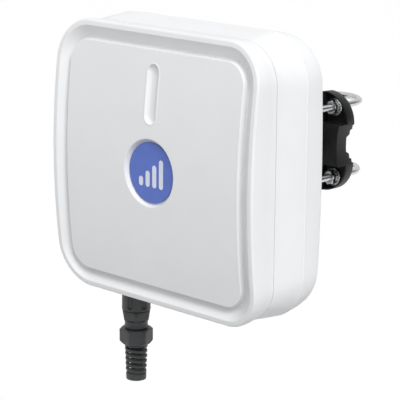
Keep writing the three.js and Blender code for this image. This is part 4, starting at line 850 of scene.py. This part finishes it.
def build_spiral(top, bottom, start_radius, end_radius):
    """A rounded helical band that tapers from the collar down to the end ring."""
    band, pitch, round_off = 3.1 * MM, 4.9 * MM, 0.9 * MM
    half, inner = band / 2, SPIRAL_BORE - round_off
    begin, end = top + band * 0.1, bottom - band * 0.1
    turns = (begin - end) / pitch
    steps = round(turns * 56)
    rings = []
    for i in range(steps + 1):
        share = i / steps
        angle = share * turns * TAU
        z = begin + (end - begin) * share
        outer = start_radius + (end_radius - start_radius) * share
        section = []
        for cx, cz, turn in ((inner, -half, -0.25), (outer, -half, 0), (outer, half, 0.25),
                             (inner, half, 0.5)):
            centre = (cx + (round_off if cx == inner else -round_off),
                      cz + (round_off if cz < 0 else -round_off))
            section += arc(centre, round_off, (turn - 0.25) * TAU, turn * TAU, 3)
        rings.append([(PORT.x + r * math.cos(angle), PORT.y + r * math.sin(angle), z + rise)
                      for r, rise in section])
    verts, faces = skin(rings)
    close_ends(verts, faces, len(rings[0]))
    spiral = mesh_object("gland_spiral", verts, faces)
    place_piece(spiral, "clamp_nut", NYLON, [], 40)


def build_cable_seal():
    low, high, radius = spread_of("cable_seal")
    bore = 3.5 * MM
    rows = [(bore + 0.7 * MM, low), (radius - 0.4 * MM, low), (radius, low + 0.4 * MM),
            (radius, high), (bore, high), (bore, low + 1.2 * MM)]
    gland_piece("gland_cable_seal", rows, ["cable_seal"], material=RUBBER,
                sides=64)


def build_vent():
    """The pressure vent: a low domed cap with six notches under a threaded stem."""
    low, high, radius = spread_of("vent_plug")
    cap, stem, bore = FLOOR_Z - GAP, VENT_THREAD / 2, 3 * MM
    depth, half_width = 0.7 * MM, 0.12

    def notched(angle):
        near = abs((angle / SIXTH) % 1 - 0.5)
        return radius - (depth if near < half_width else 0)

    rows = [(bore, low), (radius * 0.72, low), (radius * 0.93, low + 0.4 * MM),
            (notched, low + 1.1 * MM), (notched, cap - 0.5 * MM), (radius - 0.5 * MM, cap),
            (stem, cap), (stem, high), (bore, high)]
    vent = spun("vent_cap", rows, "z", (VENT.x, VENT.y), 144)
    place_piece(vent, "enclosure", NYLON, ["vent_plug"])


# ---------------------------------------------------------------- fasteners

def build_nut(node, body, axis, flats, turn, bore):
    """A hexagon nut with its corners bevelled at both ends."""
    low, high, at = span(node, axis)
    corner, bevel = flats / 2 / math.cos(SIXTH / 2), 0.5 * MM
    flat, full = hexagon(flats, turn, flats / 2), hexagon(flats, turn, corner)
    rows = [(bore + bevel, low), (flat, low), (full, low + bevel), (full, high - bevel),
            (flat, high), (bore + bevel, high), (bore, high - bevel), (bore, low + bevel)]
    nut = spun(f"{node}_hex", rows, axis, at, 96, turn)
    place_piece(nut, body, STEEL, [node], 25)


def build_washer(node, axis, bore):
    start, end, at = span(node, axis)
    low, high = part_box(node)
    radius, bevel = (high.z - low.z) / 2, 0.25 * MM
    rows = [(bore, start), (radius - bevel, start), (radius, start + bevel), (radius, end - bevel),
            (radius - bevel, end), (bore, end)]
    washer = spun(f"{node}_ring", rows, axis, at, 72)
    place_piece(washer, "bracket", STEEL, [node])


def build_screw(node, body, head_length, shank, facing):
    """A round-headed screw along Y with a hexagon socket; its head's end is the one in facing."""
    low, high, at = span(node, "y")
    radius = spread_of(node)[2]
    top, tip = (high, low) if facing == "rear" else (low, high)
    step = 1 if tip > top else -1
    socket = hexagon(radius * 0.95, 0)
    crown = 0.22 * radius
    rows = [(socket, top + step * head_length * 0.6), (socket, top + step * 0.1 * MM),
            (radius - crown, top), (radius - crown * 0.3, top + step * crown * 0.3),
            (radius, top + step * crown), (radius, top + step * head_length),
            (shank / 2, top + step * head_length), (shank / 2, tip - step * 0.5 * MM),
            (shank / 2 - 0.5 * MM, tip)]
    screw = spun(f"{node}_cap", rows, "y", at, 48, hollow=False)
    place_piece(screw, body, STEEL, [node], 30)


TILT_FLATS = 13 * MM                       # of the tilt bolt's head and of its nut


def build_fasteners():
    for row in ("upper", "lower"):
        for side in ("left", "right"):
            build_nut(f"nut_{row}_{side}", f"{row}_{side}_nut", "y", 12 * MM, 0.26, 3.3 * MM)
            build_washer(f"washer_{row}_{side}", "y", 3.4 * MM)
    build_nut("tilt_nut", "tilt_nut", "x", TILT_FLATS, SIXTH / 2, 4.3 * MM)
    for side in ("left", "right"):
        build_washer(f"tilt_washer_{side}", "x", 4.4 * MM)
    for n in range(1, 5):
        build_screw(f"cover_screw_{n}", "enclosure", 3 * MM, 4 * MM, "rear")
        build_screw(f"base_screw_{n}", "enclosure", 3 * MM, 5 * MM, "rear")
        build_screw(f"arm_screw_{n}", "bracket", 4 * MM, 5 * MM, "front")
    build_tilt_bolt()


def threaded(radius, pitch, height):
    """Radius of a screw thread at an angle, at one height along it."""
    cut = 0.6 * pitch

    def at(angle):
        share = (height / pitch - angle / TAU) % 1
        return radius - cut * (1 - abs(2 * share - 1))
    return at


def build_tilt_bolt():
    low, high, at = span("tilt_bolt", "x")
    head, radius, pitch = high - 5.3 * MM, 4 * MM, 1.25 * MM
    thread_start, thread_end = low + 0.8 * MM, low + 16 * MM
    turn = SIXTH / 2
    full = hexagon(TILT_FLATS, turn, TILT_FLATS / 2 / math.cos(SIXTH / 2))
    rows = [(radius - 0.9 * MM, low), (radius - 0.5 * MM, low + 0.5 * MM)]
    steps = round((thread_end - thread_start) / (pitch / 6))
    for i in range(steps):
        x = thread_start + (thread_end - thread_start) * i / steps
        rows.append((threaded(radius, pitch, x), x))
    rows += [(radius, thread_end + 0.3 * MM), (radius, head), (full, head), (full, high - 0.8 * MM),
             (hexagon(TILT_FLATS, turn, TILT_FLATS / 2), high)]
    bolt = spun("tilt_bolt_hex", rows, "x", at, 96, turn, hollow=False)
    place_piece(bolt, "bracket", STEEL, ["tilt_bolt"], 25)


# ---------------------------------------------------------------- U-bolts

def build_u_bolt(row):
    """A bright rod bent round the mast, with a rolled thread on each leg."""
    node = f"u_bolt_{row}"
    low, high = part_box(node)
    z = (low.z + high.z) / 2
    rod = 3 * MM
    spread = (high.x - low.x) / 2 - rod
    bend_y = high.y - rod - spread
    pitch, sides = 1 * MM, 20
    leg_end = low.y
    thread_start, thread_end = leg_end + 1 * MM, leg_end + 40 * MM
    fine = round((thread_end - thread_start) / (pitch / 5))
    leg = [(leg_end, rod - 0.75 * MM, None), (leg_end + 0.5 * MM, rod - 0.45 * MM, None)]
    for i in range(fine + 1):
        y = thread_start + (thread_end - thread_start) * i / fine
        leg.append((y, rod, y))
    leg.append((thread_end + 0.4 * MM, rod, None))
    path = [(spread, y, 0.0, r, thread) for y, r, thread in leg]
    path += [(spread * math.cos(a), bend_y + spread * math.sin(a), a, rod, None)
             for a in (math.pi * k / 48 for k in range(49))]
    path += [(-spread, y, math.pi, r, thread) for y, r, thread in reversed(leg)]
    rings = []
    for x, y, turn, radius, thread in path:
        ring = []
        for k in range(sides):
            angle = TAU * (k + 0.5) / sides
            r = radius if thread is None else threaded(radius, pitch, thread)(angle)
            out = r * math.cos(angle)
            ring.append((x + out * math.cos(turn), y + out * math.sin(turn),
                         z + r * math.sin(angle)))
        rings.append(ring)
    verts, faces = skin(rings)
    close_ends(verts, faces, sides)
    bolt = mesh_object(f"u_bolt_{row}_rod", verts, faces)
    place_piece(bolt, f"{row}_u_bolt", STEEL, [node], 60)


# ---------------------------------------------------------------- mast plate

def build_mast_plate():
    """The cast plate: four lobes, a raised cross, pockets round the nuts, two crossing grooves."""
    low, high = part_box("mast_plate")
    rear, bar_front = high.y, low.y
    front = rear - 9.7 * MM
    half, corner, dip = high.x, 28 * MM, 2.3 * MM
    bar = 19.3 * MM
    flat = half - corner
    shape = []
    for k in range(4):
        turn = k * TAU / 4
        sx, sz = ((1, 1), (-1, 1), (-1, -1), (1, -1))[k]
        shape += arc((sx * flat, sz * flat), corner, turn, turn + TAU / 4, 24)
        for i in range(1, 20):
            t = i / 20
            along_side = flat * (1 - 2 * t)
            across = half - 4 * dip * t * (1 - t)
            c, s = round(math.cos(turn)), round(math.sin(turn))
            shape.append((along_side * c - across * s, along_side * s + across * c))
    plate = prism("bracket_plate", shape, "y", front, rear)
    reach = half + 2 * MM
    inside = prism("cross_limit", shape, "y", bar_front, rear - 1 * MM)
    cross_shape = [(-bar, -reach), (bar, -reach), (bar, -bar), (reach, -bar), (reach, bar),
                   (bar, bar), (bar, reach), (-bar, reach), (-bar, bar), (-reach, bar),
                   (-reach, -bar), (-bar, -bar)]
    cross = prism("cross", cross_shape, "y", bar_front, rear - 0.5 * MM)
    carve(cross, [inside], "INTERSECT")
    carve(plate, [cross], "UNION")
    floor = 8.4 * MM
    steps = [(6.8, 1), (9.2, 0.52), (13.2, 0.52), (14, 0.21), (17.4, 0.21), (18.2, 0)]
    side = [(x * MM, rear - share * floor) for x, share in steps] + [(18.2 * MM, rear + 2 * MM)]
    upright = side + [(-x, y) for x, y in reversed(side)]
    crossways = [(y, x) for x, y in upright]
    tools = [prism("groove", upright, "z", -reach, reach),
             prism("groove", crossways, "x", -reach, reach)]
    near, far, radius = bar + 0.3 * MM, half - 1.5 * MM, corner - 1.5 * MM
    centre = far - radius
    for sx, sz in ((1, 1), (-1, 1), (-1, -1), (1, -1)):
        pocket = [(near, near), (far - 0.6 * MM, near)]
        pocket += arc((centre, centre), radius, 0.1, TAU / 4 - 0.1, 18)
        pocket.append((near, far - 0.6 * MM))
        placed = [(x * sx, z * sz) for x, z in pocket]
        tools.append(prism("pocket", placed, "y", front - 2 * MM, front + 3.9 * MM))
    for row in ("upper", "lower"):
        for column in ("left", "right"):
            leg = middle(f"nut_{row}_{column}")
            rows = [(3.5 * MM, front - 1 * MM), (3.5 * MM, rear + 1 * MM)]
            tools.append(spun("leg_hole", rows, "y", (leg.x, leg.z), 32, hollow=False))
    for tool in tools:
        tidy_mesh(tool)
    carve(plate, tools)
    round_edges(plate, 0.55 * MM, 2, 35)
    apply_modifiers(plate)
    place_piece(plate, "bracket", BLACK, ["mast_plate"], 30)


# ---------------------------------------------------------------- CAD nodes that stay

def dress(nodes, material, bevel=0.0):
    for node in nodes:
        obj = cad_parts[node]
        obj.data.materials.clear()
        obj.data.materials.append(material)
        smooth(obj, 30)
        if bevel:
            round_edges(obj, bevel)


def numbered(stem):
    return [f"{stem}_{n}" for n in range(1, 5)]


def dress_frame():
    dress(["tilt_arm", "mount_base"], BLACK, 0.7 * MM)
    dress(["housing_gasket"], RUBBER)
    dress(["port_lock_nut"], NYLON, 0.3 * MM)
    dress(["chassis_plate"], ALUMINIUM, 0.15 * MM)
    dress(["antenna_board", "main_board"], LAMINATE)
    dress(["rf_shield", "ethernet_jack"], TIN, 0.2 * MM)
    dress(["coax_lead_1", "coax_lead_2"] + numbered("patch_element"), BRASS)
    dress(numbered("antenna_spacer"), NATURAL)
    dress(numbered("chassis_screw"), STEEL)


# ---------------------------------------------------------------- the scene

make_camera()
make_studio()
make_floor()
build_cover()
build_housing()
build_badge()
build_receptacle()
build_coupling_ring()
build_plug()
build_clamp_nut()
build_cable_seal()
build_vent()
build_fasteners()
for side_name in ("upper", "lower"):
    build_u_bolt(side_name)
build_mast_plate()
dress_frame()
